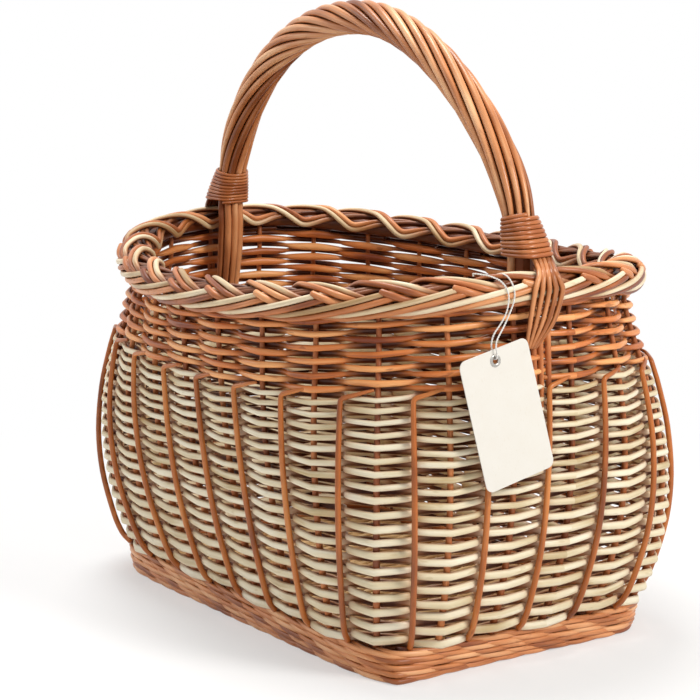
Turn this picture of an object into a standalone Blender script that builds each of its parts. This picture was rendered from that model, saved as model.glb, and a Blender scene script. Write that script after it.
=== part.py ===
"""Mushroom foraging basket: a woven willow body with a roped handle and a swing tag.

Metres, +Z up. The basket stands on z = 0 with its middle on the Z axis. Its long
axis, which the handle spans, is X, and the tag hangs on the rim at the +X end.
"""

import math

import bmesh
import bpy
import numpy as np
from mathutils import Matrix, Vector

# Fits
SEAT_GAP = 0.0003
ROD_GAP = 0.00045

# Plan of the body, measured at the middle of the weave
FOOT_LENGTH = 0.344
FOOT_WIDTH = 0.224
RIM_LENGTH = 0.392
RIM_WIDTH = 0.294
BELLY_SWELL_LENGTH = 0.016
BELLY_SWELL_WIDTH = 0.0095
FOOT_SQUARENESS = 8.0
RIM_SQUARENESS = 2.1
SQUARENESS_EASE = 1.5
BELLY_EASE = 0.8

# Heights of the body, measured at its long sides
FOOT_HEIGHT = 0.020
BAND_HEIGHT = 0.177
RIM_HEIGHT = 0.230
RIM_RISE = 0.015

# Weave
WALL_THICKNESS = 0.008
WEAVE_RELIEF = 0.0018
WEAVE_SINK = 0.0024
STAKES = 26
STAKE_SHIFT_SHARE = 0.29
LOWER_ROWS = 15
UPPER_ROWS = 7

# Foot border of stout waling rods
FOOT_ROWS = 4
FOOT_STAND_OUT = 0.0055
FOOT_TAPER = 0.003
FOOT_RELIEF = 0.0012
FOOT_WALL = 0.010

# Base inside the foot border
BASE_THICKNESS = 0.0055
STICK_DIAMETER = 0.008
STICK_LIFT = 0.0005
STICK_SHARES = (-0.6, -0.2, 0.2, 0.6)
STICK_END_PLAY = 0.0006

# Plaited rim
BRAID_WIDTH = 0.026
BRAID_HEIGHT = 0.024
BRAID_RELIEF = 0.0016
BRAID_COLUMNS_PER_STAKE = 3
BRAID_SLANT_SHARE = 0.16

# Outer ribs over the pale weave
RIB_DIAMETER = 0.005
RIB_CLEARANCE = 0.00105
RIB_END_LIFT = 0.0020
RIB_RING_SHARES = (0.0, 0.14, 0.33, 0.52, 0.72, 0.92, 0.965, 0.995)
RIB_LEAN_SHARES = (0.0, 0.0, 0.0, 0.0, 0.0, 0.01, 0.10, 0.26)
RIB_TAPER_SHARES = (1.0, 1.0, 1.0, 0.97, 0.94, 0.9, 0.84, 0.66)

# Roped handle
HANDLE_INSET = 0.020
HANDLE_OFFSET = -0.008
HANDLE_TOP = 0.4045
HANDLE_LEAN = math.radians(12)
HANDLE_FOOT_PULL = 0.040
HANDLE_CROWN_FRONT = 0.083
HANDLE_CROWN_BACK = 0.114
HANDLE_ROD_DIAMETER = 0.005
HANDLE_RODS = 10
HANDLE_TURNS = 1.5
TWIST_CALM_SHARE = 0.55
ARCH_STEPS = 24
CORE_BEND_DROP = 0.016
CORE_TAIL_DROP = 0.062
BUTT_DROP = 0.034

# Collars that bind the feet of the handle
COLLAR_HEIGHT = 0.024
COLLAR_WALL = 0.0016
COLLAR_TURNS = 9
COLLAR_RELIEF = 0.0006
COLLAR_SQUARENESS = 4.2
COLLAR_COLUMNS = 16
COLLAR_START_SHARE = 0.09
COLLAR_FLARE = 0.0008
COLLAR_PLAY = 0.0003
COLLAR_LIFT = 0.0012

# Tails of the handle rods, fanned over the plait and tucked into the band
FAN_SPREAD = 0.010
FAN_START_PITCH = 0.00465
FAN_BOW = 0.0030
FAN_PITCH = 0.0051
FAN_ANGLES = tuple(math.radians(angle) for angle in (42, 70, 98))
FAN_LEAN = 0.021
FAN_LEAN_SHARES = (0.24, 0.36, 0.50)
FAN_TIP_PITCH = 0.0037
FAN_TIP_DROP = 0.020
FAN_TAPER_SHARES = (0.86, 0.86, 0.85, 0.84, 0.8, 0.6)

# Swing tag
TAG_WIDTH = 0.054
TAG_HEIGHT = 0.084
TAG_THICKNESS = 0.0006
TAG_CORNER = 0.005
TAG_HOLE_INSET = 0.007
TAG_TILT = math.radians(12)
TAG_LEAN = math.radians(5.5)
EYELET_PLACE = (0.2067, -0.0540, 0.2055)
EYELET_BORE = 0.0040
EYELET_BARREL = 0.0050
EYELET_FLANGE = 0.0080
EYELET_HALF_DEPTH = 0.0009
STRING_DIAMETER = 0.0012
STRING_STEP = 0.003
LIFT_AXIS_ENDS = ((0.1896, -0.03735, 0.2544), (0.1850, -0.0547, 0.2552))

# Route of the tag's string: from the plait down the front of the card, through the
# eyelet and up behind the card to the plait again
STRING_ROUTE = (
    (0.1895, -0.0374, 0.2539),
    (0.1898, -0.0373, 0.2553),
    (0.1937, -0.0373, 0.2553),
    (0.1975, -0.0372, 0.2540),
    (0.2014, -0.0371, 0.2504),
    (0.2038, -0.0372, 0.2454),
    (0.2044, -0.0382, 0.2400),
    (0.2047, -0.0412, 0.2340),
    (0.2058, -0.0466, 0.2260),
    (0.2070, -0.0524, 0.2190),
    (0.2083, -0.0546, 0.2150),
    (0.2090, -0.0545, 0.2112),
    (0.20890, -0.0540, 0.20885),
    (0.20858, -0.0540, 0.20765),
    (0.20770, -0.0540, 0.20677),
    (0.20650, -0.0540, 0.20645),
    (0.20530, -0.0540, 0.20677),
    (0.20442, -0.0540, 0.20765),
    (0.20410, -0.0540, 0.20885),
    (0.2041, -0.0545, 0.2115),
    (0.2046, -0.0553, 0.2160),
    (0.2044, -0.0532, 0.2215),
    (0.2042, -0.0478, 0.2275),
    (0.2039, -0.0436, 0.2335),
    (0.2037, -0.0418, 0.2395),
    (0.2034, -0.0416, 0.2450),
    (0.2012, -0.0424, 0.2495),
    (0.1976, -0.0446, 0.2531),
    (0.1920, -0.0483, 0.2553),
    (0.1881, -0.0522, 0.2561),
    (0.1850, -0.0547, 0.2562),
    (0.1852, -0.0547, 0.2547),
)

# Values that follow from the sizes above
WALL_HEIGHT = RIM_HEIGHT - BRAID_HEIGHT / 2 - SEAT_GAP - FOOT_HEIGHT - SEAT_GAP
BAND_CLIMB = (BAND_HEIGHT - FOOT_HEIGHT) / WALL_HEIGHT
COLUMNS = 2 * STAKES
ROD_RADIUS = HANDLE_ROD_DIAMETER / 2
TURN = 2 * math.pi


def clear_scene():
    """Start from an empty file."""
    for thing in list(bpy.data.objects):
        bpy.data.objects.remove(thing)
    for group in list(bpy.data.collections):
        bpy.data.collections.remove(group)


def new_collection(name):
    group = bpy.data.collections.new(name)
    bpy.context.scene.collection.children.link(group)
    return group


def material(name, colour, roughness, metallic=0.0):
    """A plain finish: base colour, roughness and metallic."""
    finish = bpy.data.materials.new(name)
    finish.use_nodes = True
    shader = finish.node_tree.nodes["Principled BSDF"]
    shader.inputs["Base Color"].default_value = (*colour, 1.0)
    shader.inputs["Roughness"].default_value = roughness
    shader.inputs["Metallic"].default_value = metallic
    finish.diffuse_color = (*colour, 1.0)
    return finish


# Plan curves


def outline(length, width, squareness, count, shift_share=0.0, sides=None):
    """Points and outward directions, equally spaced round a superellipse.

    The first point lies shift_share of one space past the +X end, counter-clockwise.
    sides is the number of spaces that shift_share counts in, where it isn't count.
    """
    angles = np.linspace(0.0, TURN, 2881)
    a = length / 2
    b = width / 2
    reach = (np.abs(np.cos(angles) / a) ** squareness + np.abs(np.sin(angles) / b) ** squareness) ** (
        -1 / squareness
    )
    dense = np.stack([reach * np.cos(angles), reach * np.sin(angles)], axis=1)
    steps = np.linalg.norm(np.diff(dense, axis=0), axis=1)
    travelled = np.concatenate([[0.0], np.cumsum(steps)])
    space = travelled[-1] / (sides or count)
    wanted = (np.arange(count) * travelled[-1] / count + shift_share * space) % travelled[-1]
    points = np.stack([np.interp(wanted, travelled, dense[:, axis]) for axis in (0, 1)], axis=1)
    return points, outward(points, length, width, squareness)


def outward(points, length, width, squareness):
    """Unit directions square to a superellipse at its points."""
    halves = np.array([length / 2, width / 2])
    slopes = np.sign(points) * np.abs(points / halves) ** (squareness - 1) / halves
    return slopes / np.linalg.norm(slopes, axis=-1, keepdims=True)


def plan_at(climb):
    """Length, width and squareness of the weave's middle, from foot (0) to rim (1)."""
    swell = math.sin(math.pi * max(climb, 0.0) ** BELLY_EASE)
    length = FOOT_LENGTH + (RIM_LENGTH - FOOT_LENGTH) * climb + 2 * BELLY_SWELL_LENGTH * swell
    width = FOOT_WIDTH + (RIM_WIDTH - FOOT_WIDTH) * climb + 2 * BELLY_SWELL_WIDTH * swell
    sharpness = (FOOT_SQUARENESS - RIM_SQUARENESS) * (1 - climb) ** SQUARENESS_EASE
    return length, width, RIM_SQUARENESS + sharpness


def height_at(climb, x, length):
    """Height of the weave: its rows rise towards the ends of the basket."""
    end_share = (2 * x / length) ** 2
    return FOOT_HEIGHT + SEAT_GAP + WALL_HEIGHT * climb + RIM_RISE * end_share * climb**2


def wall_ring(climb, offset, count=COLUMNS, shift_share=STAKE_SHIFT_SHARE):
    """Points round the body at one climb, offset outwards, starting at a stake."""
    length, width, squareness = plan_at(climb)
    flat, normals = outline(length, width, squareness, count, shift_share, STAKES)
    heights = height_at(climb, flat[:, 0], length)
    moved = flat + normals * np.reshape(offset, (-1, 1))
    return np.column_stack([moved, heights])


def end_point(side, lateral, climb, offset):
    """A point on the +X (side 1) or -X (side -1) end of the wall, at y = lateral."""
    length, width, squareness = plan_at(climb)
    x = side * length / 2 * (1 - abs(2 * lateral / width) ** squareness) ** (1 / squareness)
    flat = np.array([[x, lateral]])
    moved = (flat + outward(flat, length, width, squareness) * offset)[0]
    return np.array([*moved, height_at(climb, x, length)])


def rim_middle(side, lateral):
    """Middle of the plait at an end of the basket."""
    x = side * RIM_LENGTH / 2 * (1 - abs(2 * lateral / RIM_WIDTH) ** RIM_SQUARENESS) ** (1 / RIM_SQUARENESS)
    return np.array([x, lateral, RIM_HEIGHT + RIM_RISE * (2 * x / RIM_LENGTH) ** 2])


# Makers


def mesh_object(name, points, faces, finish, group):
    mesh = bpy.data.meshes.new(name)
    mesh.from_pydata([tuple(point) for point in points], [], faces)
    work = bmesh.new()
    work.from_mesh(mesh)
    bmesh.ops.recalc_face_normals(work, faces=work.faces)
    work.to_mesh(mesh)
    work.free()
    mesh.materials.append(finish)
    thing = bpy.data.objects.new(name, mesh)
    group.objects.link(thing)
    return thing


def loft_round(name, sections, finish, group):
    """A ring lofted through closed sections, the last joined to the first."""
    sections = np.asarray(sections)
    columns, around, _ = sections.shape
    faces = []
    for column in range(columns):
        following = (column + 1) % columns
        for spot in range(around):
            after = (spot + 1) % around
            faces.append(
                (
                    column * around + spot,
                    column * around + after,
                    following * around + after,
                    following * around + spot,
                )
            )
    return mesh_object(name, sections.reshape(-1, 3), faces, finish, group)


def rod(name, points, diameter, finish, group, shares=None, roundness=1):
    """A round rod along a line of points, with its thickness as shares of diameter."""
    line = bpy.data.curves.new(name, "CURVE")
    line.dimensions = "3D"
    line.bevel_depth = diameter / 2
    line.bevel_resolution = roundness
    line.use_fill_caps = True
    spline = line.splines.new("POLY")
    spline.points.add(len(points) - 1)
    for index, point in enumerate(points):
        spline.points[index].co = (*point, 1.0)
        spline.points[index].radius = 1.0 if shares is None else shares[index]
    spline.use_smooth = True
    line.materials.append(finish)
    thing = bpy.data.objects.new(name, line)
    group.objects.link(thing)
    return thing


def even_line(points, count):
    """count points at equal steps along a line of points."""
    travelled = np.concatenate([[0.0], np.cumsum(np.linalg.norm(np.diff(points, axis=0), axis=1))])
    wanted = np.linspace(0.0, travelled[-1], count)
    return np.stack([np.interp(wanted, travelled, points[:, axis]) for axis in range(3)], axis=1)


def smooth_line(points, longest_step):
    """A smooth curve through the given points, with more points where they lie far apart."""
    points = np.asarray(points, float)
    padded = np.concatenate([[2 * points[0] - points[1]], points, [2 * points[-1] - points[-2]]])
    line = []
    for before, start, end, after in zip(padded, padded[1:], padded[2:], padded[3:]):
        pieces = math.ceil(np.linalg.norm(end - start) / longest_step)
        for share in np.linspace(0.0, 1.0, pieces, endpoint=False):
            line.append(
                start
                + share * (end - before) / 2
                + share**2 * (before - 2.5 * start + 2 * end - after / 2)
                + share**3 * (1.5 * start - before / 2 - 1.5 * end + after / 2)
            )
    return np.array([*line, points[-1]])


# Body


def wall_offsets(row, rows):
    """How far the two faces of the weave stand from its middle, at each column.

    A row passes in front of one stake and behind the next, and crosses midway, where
    the weave is thinnest.
    """
    outer = np.full(COLUMNS, WALL_THICKNESS / 2)
    outer[1::2] -= WEAVE_SINK
    inner = -outer
    if 0 < row < rows:
        for stake in range(STAKES):
            in_front = (stake + row) % 2 == 0
            outer[2 * stake] += WEAVE_RELIEF if in_front else -WEAVE_RELIEF / 2
            inner[2 * stake] += WEAVE_RELIEF if in_front else 0.0
    return outer, inner


def woven_wall(name, low, high, rows, finish, group):
    """One band of weave between two climbs: its outer rows upwards, its inner rows down."""
    outer = []
    inner = []
    for row in range(rows + 1):
        climb = low + (high - low) * row / rows
        outer_offsets, inner_offsets = wall_offsets(row, rows)
        outer.append(wall_ring(climb, outer_offsets))
        inner.append(wall_ring(climb, inner_offsets))
    return loft_round(name, np.stack(outer + inner[::-1], axis=1), finish, group)


def make_walls(pale, brown, group):
    gap_climb = SEAT_GAP / WALL_HEIGHT
    woven_wall("lower_wall", 0.0, BAND_CLIMB - gap_climb, LOWER_ROWS, pale, group)
    woven_wall("upper_wall", BAND_CLIMB, 1.0, UPPER_ROWS, brown, group)


def foot_ring(offset, height):
    """Points round the foot at one height."""
    flat, normals = outline(
        FOOT_LENGTH, FOOT_WIDTH, FOOT_SQUARENESS, COLUMNS, STAKE_SHIFT_SHARE, STAKES
    )
    moved = flat + normals * np.reshape(offset, (-1, 1))
    return np.column_stack([moved, np.full(COLUMNS, height)])


def make_foot(finish, group):
    """Waling rods piled into a border that the whole basket stands on."""
    outer_face = WALL_THICKNESS / 2 + FOOT_STAND_OUT
    inner_face = outer_face - FOOT_WALL - FOOT_STAND_OUT
    rings = [foot_ring(outer_face - FOOT_TAPER, 0.0)]
    column = np.arange(COLUMNS)
    for row in range(FOOT_ROWS):
        over = np.where((column + 2 * row) % 4 < 3, 1.0, 0.2)
        middle = (row + 0.5) / FOOT_ROWS
        drawn_in = FOOT_TAPER * (1 - middle) ** 2
        rings.append(foot_ring(outer_face - drawn_in + FOOT_RELIEF * over, FOOT_HEIGHT * middle))
        if row < FOOT_ROWS - 1:
            seam = (row + 1) / FOOT_ROWS
            rings.append(foot_ring(outer_face - FOOT_TAPER * (1 - seam) ** 2, FOOT_HEIGHT * seam))
    rings.append(foot_ring(outer_face, FOOT_HEIGHT))
    rings.append(foot_ring(inner_face, FOOT_HEIGHT))
    rings.append(foot_ring(inner_face, 0.0))
    loft_round("foot_border", np.stack(rings, axis=1), finish, group)
    return inner_face


def flat_panel(name, loops, thickness, finish, group):
    """A flat board with an outline and any holes, given as loops of plan points."""
    board = bpy.data.curves.new(name, "CURVE")
    board.dimensions = "2D"
    board.fill_mode = "BOTH"
    board.extrude = thickness / 2
    for loop in loops:
        spline = board.splines.new("POLY")
        spline.points.add(len(loop) - 1)
        for index, point in enumerate(loop):
            spline.points[index].co = (point[0], point[1], 0.0, 1.0)
        spline.use_cyclic_u = True
    board.materials.append(finish)
    thing = bpy.data.objects.new(name, board)
    group.objects.link(thing)
    return thing


def make_base(inner_face, weave_finish, stick_finish, group):
    """A woven panel inside the foot border, lying on four stout sticks."""
    edge = foot_ring(inner_face - SEAT_GAP, 0.0)
    panel = flat_panel("base_weave", [edge], BASE_THICKNESS, weave_finish, group)
    stick_middle = STICK_LIFT + STICK_DIAMETER / 2
    panel.location.z = stick_middle + STICK_DIAMETER / 2 + SEAT_GAP + BASE_THICKNESS / 2
    half_length = FOOT_LENGTH / 2 + inner_face
    half_width = FOOT_WIDTH / 2 + inner_face
    for number, share in enumerate(STICK_SHARES, start=1):
        y = share * half_width
        room = (1 - abs(share + math.copysign(STICK_DIAMETER / 2 / half_width, share)) ** FOOT_SQUARENESS) ** (
            1 / FOOT_SQUARENESS
        )
        reach = half_length * room - STICK_END_PLAY
        ends = [(-reach, y, stick_middle), (reach, y, stick_middle)]
        rod(f"base_stick_{number}", ends, STICK_DIAMETER, stick_finish, group, roundness=2)


def make_braid(finish, group):
    """The plaited border: ridges slant one way outside and the other way on top."""
    columns = STAKES * BRAID_COLUMNS_PER_STAKE
    flat, normals = outline(
        RIM_LENGTH, RIM_WIDTH, RIM_SQUARENESS, columns, STAKE_SHIFT_SHARE, STAKES
    )
    heights = RIM_HEIGHT + RIM_RISE * (2 * flat[:, 0] / RIM_LENGTH) ** 2
    around = 10
    sections = []
    for column in range(columns):
        phase = TURN * column / BRAID_COLUMNS_PER_STAKE
        section = []
        for spot in range(around):
            angle = TURN * (spot + 0.5) / around - math.pi / 2
            out = math.cos(angle)
            up = math.sin(angle)
            on_show = 1.0 if out > 0 or up > 0 else 0.0
            slant = spot if spot < around * 0.4 else around * 0.8 - spot
            ridge = BRAID_RELIEF * on_show * math.cos(phase + TURN * BRAID_SLANT_SHARE * slant)
            if spot in (0, around - 1):
                up = -1.0
                ridge = 0.0
            width = BRAID_WIDTH / 2 - BRAID_RELIEF + ridge
            height = BRAID_HEIGHT / 2 - (BRAID_RELIEF - ridge if up > 0 else 0.0)
            spread = out * width
            point = flat[column] + normals[column] * spread
            section.append((*point, heights[column] + up * height))
        sections.append(section)
    loft_round("rim_braid", sections, finish, group)


def make_ribs(finish, group):
    """Outer ribs that lie over the pale weave, midway between the stakes."""
    for number in range(STAKES):
        line = []
        for ring_share, lean_share, thickness in zip(RIB_RING_SHARES, RIB_LEAN_SHARES, RIB_TAPER_SHARES):
            climb = max(BAND_CLIMB * ring_share, RIB_END_LIFT / WALL_HEIGHT)
            stand_off = WALL_THICKNESS / 2 - WEAVE_SINK + RIB_DIAMETER / 2 * thickness + RIB_CLEARANCE
            stand_off += (WEAVE_SINK + WEAVE_RELIEF) * 2 * lean_share
            place = number + 0.5 + lean_share + STAKE_SHIFT_SHARE
            line.append(wall_ring(climb, stand_off, 1, place)[0])
        rod(f"rib_{number + 1:02d}", line, RIB_DIAMETER, finish, group, RIB_TAPER_SHARES)


# Handle


def arch_line():
    """Middle line of the handle between its collars, from the +X foot to the -X foot."""
    lean = np.array([math.sin(HANDLE_LEAN), 0.0, math.cos(HANDLE_LEAN)])
    apex = np.array([0.0, HANDLE_OFFSET, HANDLE_TOP])
    along = np.array([1.0, 0.0, 0.0])
    halves = []
    for side, crown in ((1, HANDLE_CROWN_FRONT), (-1, HANDLE_CROWN_BACK)):
        rise = lean * (-side, 1, 1)
        start = collar_foot(side) + rise * COLLAR_HEIGHT
        shares = np.linspace(0.0, 1.0, 8 * ARCH_STEPS + 1)[:, None]
        halves.append(
            (1 - shares) ** 3 * start
            + 3 * (1 - shares) ** 2 * shares * (start + rise * HANDLE_FOOT_PULL)
            + 3 * (1 - shares) * shares**2 * (apex + along * side * crown)
            + shares**3 * apex
        )
    line = np.concatenate([halves[0], halves[1][::-1][1:]])
    return even_line(line, ARCH_STEPS + 1)


def braid_clearance(thickness_share=1.0):
    """Distance from the middle of the plait to a rod that lies over it."""
    return BRAID_WIDTH / 2 + ROD_RADIUS * thickness_share + ROD_GAP


def collar_foot(side):
    """Middle of the handle at the lower edge of a collar."""
    crest = rim_middle(side, HANDLE_OFFSET)[2] + braid_clearance()
    x = side * (RIM_LENGTH / 2 - HANDLE_INSET)
    return np.array([x, HANDLE_OFFSET, crest + COLLAR_LIFT])


def twist_angles(line):
    """Turn of the rods about the core at each point of the arch, slower at the feet."""
    steps = np.linalg.norm(np.diff(line, axis=0), axis=1)
    travelled = np.concatenate([[0.0], np.cumsum(steps)]) / steps.sum()
    eased = travelled - TWIST_CALM_SHARE * np.sin(TURN * travelled) / TURN
    return eased * HANDLE_TURNS * TURN, steps.sum()


def ring_radius(length):
    """Radius at which the twisted rods lie side by side, with room for their slant."""
    radius = ROD_RADIUS / math.sin(math.pi / HANDLE_RODS)
    for _ in range(4):
        slope = radius * HANDLE_TURNS * TURN * (1 + TWIST_CALM_SHARE) / length
        room = (ROD_RADIUS + ROD_GAP / 2) * math.hypot(1.0, slope)
        radius = room / math.sin(math.pi / HANDLE_RODS)
    return radius


def core_tail(side, core_radius):
    """The core's end, pushed down inside the rim and against the wall."""
    foot = collar_foot(side)
    middle = rim_middle(side, HANDLE_OFFSET)
    inside = BRAID_WIDTH / 2 + core_radius + ROD_GAP
    bend_x = min(abs(foot[0]), abs(middle[0]) - inside)
    low_climb = 1 - CORE_TAIL_DROP / WALL_HEIGHT
    low = end_point(side, HANDLE_OFFSET, low_climb, -WALL_THICKNESS / 2 - core_radius - 3 * ROD_GAP)
    bend = np.array([side * bend_x, HANDLE_OFFSET, foot[2] - CORE_BEND_DROP])
    return [low, bend]


def make_core(arch, core_radius, finish, group):
    front = core_tail(1, core_radius)
    back = core_tail(-1, core_radius)
    line = [*front, collar_foot(1), *arch, collar_foot(-1), *back[::-1]]
    rod("handle_core", line, 2 * core_radius, finish, group, roundness=2)


def frames(line):
    """Outward and sideways directions along the arch, which lies in one plane."""
    ahead = np.gradient(line, axis=0)
    ahead /= np.linalg.norm(ahead, axis=1, keepdims=True)
    sideways = np.array([0.0, 1.0, 0.0])
    return np.cross(sideways, ahead), sideways


def outer_tail(side, angle, radius):
    """A rod's thin end: down through the collar, over the plait and into the band."""
    foot = collar_foot(side)
    order = round(side * angle / (TURN / HANDLE_RODS))
    bow = FAN_BOW * (order / 2) ** 2
    x = abs(foot[0]) + radius + FAN_SPREAD - bow
    points = [np.array([side * x, foot[1] + side * order * FAN_START_PITCH, foot[2]])]
    for bend, lean, thickness in zip(FAN_ANGLES, FAN_LEAN_SHARES, FAN_TAPER_SHARES[1:]):
        reach = braid_clearance(thickness)
        place = rim_middle(side, foot[1] + side * (order * FAN_PITCH - FAN_LEAN * lean))
        place += (side * reach * math.sin(bend), 0.0, reach * math.cos(bend))
        points.append(place)
    tip_climb = 1 - FAN_TIP_DROP / WALL_HEIGHT
    for climb, pitch, lean, thickness in (
        ((2 + tip_climb) / 3, (FAN_PITCH + FAN_TIP_PITCH) / 2, 0.74, FAN_TAPER_SHARES[-2]),
        (tip_climb, FAN_TIP_PITCH, 1.0, FAN_TAPER_SHARES[-1]),
    ):
        stand_off = WALL_THICKNESS / 2 + WEAVE_RELIEF + ROD_RADIUS * thickness + ROD_GAP
        y = order * pitch - FAN_LEAN * lean
        points.append(end_point(side, foot[1] + side * y, climb, stand_off))
    return points


def inner_tail(side, angle, radius, core_radius):
    """A rod's butt, which runs down beside the core inside the rim."""
    foot = collar_foot(side)
    bend = core_tail(side, core_radius)[1]
    shift = np.array([side * radius * math.cos(angle), radius * math.sin(angle), 0.0])
    end = bend + (0.0, 0.0, CORE_BEND_DROP - BUTT_DROP)
    return [foot + shift, bend + shift, end + shift]


def make_handle(core_finish, rod_finish, group):
    """Ten rods, five from each side, roped round the core."""
    arch = arch_line()
    twist, length = twist_angles(arch)
    radius = ring_radius(length)
    core_radius = radius - ROD_RADIUS - ROD_GAP
    make_core(arch, core_radius, core_finish, group)
    outwards, sideways = frames(arch)
    spacing = TURN / HANDLE_RODS
    half = HANDLE_RODS // 2
    for number in range(HANDLE_RODS):
        from_front = number < half
        start = (number % half - (half - 1) / 2) * spacing
        angles = twist + start + (0.0 if from_front else math.pi)
        coil = (
            arch
            + radius * np.cos(angles)[:, None] * outwards
            + radius * np.sin(angles)[:, None] * sideways
        )
        if from_front:
            tail = outer_tail(1, start, radius)
            butt = inner_tail(-1, start + math.pi, radius, core_radius)
            line = [*tail[::-1], *coil, *butt]
            shares = [*FAN_TAPER_SHARES[-len(tail) :][::-1], *[1.0] * (len(coil) + len(butt))]
        else:
            butt = inner_tail(1, start + math.pi, radius, core_radius)
            tail = outer_tail(-1, start, radius)
            line = [*butt[::-1], *coil, *tail]
            shares = [*[1.0] * (len(coil) + len(butt)), *FAN_TAPER_SHARES[-len(tail) :]]
        rod(f"handle_rod_{number + 1:02d}", line, HANDLE_ROD_DIAMETER, rod_finish, group, shares)
    return radius


def collar_section(angle, radius, side):
    """One slice of a collar: plain inside, a scallop for each turn outside."""
    foot = collar_foot(side)
    bore = (radius + ROD_RADIUS + ROD_GAP + COLLAR_PLAY) / math.cos(math.pi / COLLAR_COLUMNS)
    spread = FAN_SPREAD / 2

    def spot(climb, proud):
        share = COLLAR_START_SHARE + (1 - COLLAR_START_SHARE) * climb
        half_length = bore + spread * (1 - share) + proud
        half_width = bore + COLLAR_FLARE * (1 - share) + proud
        squareness = 2 + (COLLAR_SQUARENESS - 2) * (1 - share)
        reach = (
            abs(math.cos(angle) / half_length) ** squareness
            + abs(math.sin(angle) / half_width) ** squareness
        ) ** (-1 / squareness)
        out = spread * (1 - share) + reach * math.cos(angle)
        tilt = HANDLE_LEAN * share
        rise = COLLAR_HEIGHT * share
        return (
            side * (abs(foot[0]) - rise * math.sin(HANDLE_LEAN) + out * math.cos(tilt)),
            foot[1] + side * reach * math.sin(angle),
            foot[2] + rise * math.cos(HANDLE_LEAN) + out * math.sin(tilt),
        )

    section = [spot(1.0, 0.0), spot(0.0, 0.0), spot(0.0, COLLAR_WALL)]
    for turn in range(COLLAR_TURNS):
        section.append(spot((turn + 0.5) / COLLAR_TURNS, COLLAR_WALL + COLLAR_RELIEF))
        section.append(spot((turn + 1) / COLLAR_TURNS, COLLAR_WALL))
    return section


def make_collars(radius, finish, group):
    for name, side in (("collar_front", 1), ("collar_back", -1)):
        angles = [TURN * column / COLLAR_COLUMNS for column in range(COLLAR_COLUMNS)]
        sections = [collar_section(angle, radius, side) for angle in angles]
        loft_round(name, sections, finish, group)


# Tag


def rounded_rectangle(width, low, high, corner, steps=4):
    """Plan points of an upright card whose hole is at the origin."""
    points = []
    for x, y, start in (
        (width / 2 - corner, high - corner, 0.0),
        (corner - width / 2, high - corner, math.pi / 2),
        (corner - width / 2, low + corner, math.pi),
        (width / 2 - corner, low + corner, 1.5 * math.pi),
    ):
        for step in range(steps + 1):
            angle = start + math.pi / 2 * step / steps
            points.append((x + corner * math.cos(angle), y + corner * math.sin(angle)))
    return points


def circle(diameter, steps=16):
    """Plan points of a round hole."""
    return [
        (diameter / 2 * math.cos(TURN * step / steps), diameter / 2 * math.sin(TURN * step / steps))
        for step in range(steps)
    ]


def tag_placing():
    """Card's own axes (across, up, out of its face) set at the eyelet."""
    out = Vector((math.cos(TAG_LEAN), 0.0, math.sin(TAG_LEAN)))
    up = Vector((-math.sin(TAG_LEAN), -math.sin(TAG_TILT) * math.cos(TAG_LEAN), 0.0))
    up.z = math.cos(TAG_TILT) * math.cos(TAG_LEAN)
    up = (up - out * up.dot(out)).normalized()
    across = up.cross(out)
    placing = Matrix((across, up, out)).transposed().to_4x4()
    placing.translation = Vector(EYELET_PLACE)
    return placing


def make_eyelet(finish, group):
    """A turned rivet: a barrel through the card with a flange on each face."""
    lip = EYELET_HALF_DEPTH - TAG_THICKNESS / 2 - SEAT_GAP
    inner = EYELET_HALF_DEPTH - lip
    profile = (
        (EYELET_BORE / 2, EYELET_HALF_DEPTH),
        (EYELET_FLANGE / 2, EYELET_HALF_DEPTH),
        (EYELET_FLANGE / 2, inner),
        (EYELET_BARREL / 2, inner),
        (EYELET_BARREL / 2, -inner),
        (EYELET_FLANGE / 2, -inner),
        (EYELET_FLANGE / 2, -EYELET_HALF_DEPTH),
        (EYELET_BORE / 2, -EYELET_HALF_DEPTH),
    )
    mesh = bpy.data.meshes.new("tag_eyelet")
    edges = [(spot, (spot + 1) % len(profile)) for spot in range(len(profile))]
    mesh.from_pydata([(across, 0.0, up) for across, up in profile], edges, [])
    mesh.materials.append(finish)
    thing = bpy.data.objects.new("tag_eyelet", mesh)
    group.objects.link(thing)
    turning = thing.modifiers.new("turn", "SCREW")
    turning.axis = "Z"
    turning.steps = 16
    turning.render_steps = 16
    turning.use_merge_vertices = True
    turning.merge_threshold = 0.00001
    return thing


def make_tag(card_finish, metal, string_finish, group):
    """Card and eyelet turn about the eyelet, on a string that lifts about the rim."""
    near_end, far_end = (Vector(end) for end in LIFT_AXIS_ENDS)
    lift = bpy.data.objects.new("tag_lift_axis", None)
    lift.location = (near_end + far_end) / 2
    lift.rotation_euler = (far_end - near_end).to_track_quat("X", "Z").to_euler()
    group.objects.link(lift)
    turn = bpy.data.objects.new("tag_turn_axis", None)
    turn.matrix_world = tag_placing()
    group.objects.link(turn)

    outline_points = rounded_rectangle(TAG_WIDTH, TAG_HOLE_INSET - TAG_HEIGHT, TAG_HOLE_INSET, TAG_CORNER)
    hole = circle(EYELET_BARREL + 2 * SEAT_GAP)
    card = flat_panel("tag_card", [outline_points, hole], TAG_THICKNESS, card_finish, group)
    card.parent = turn
    make_eyelet(metal, group).parent = turn
    string = rod(
        "tag_string",
        smooth_line(STRING_ROUTE, STRING_STEP),
        STRING_DIAMETER,
        string_finish,
        group,
        roundness=2,
    )
    bpy.context.view_layer.update()
    for piece in (turn, string):
        piece.parent = lift
        piece.matrix_parent_inverse = lift.matrix_world.inverted()


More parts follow.
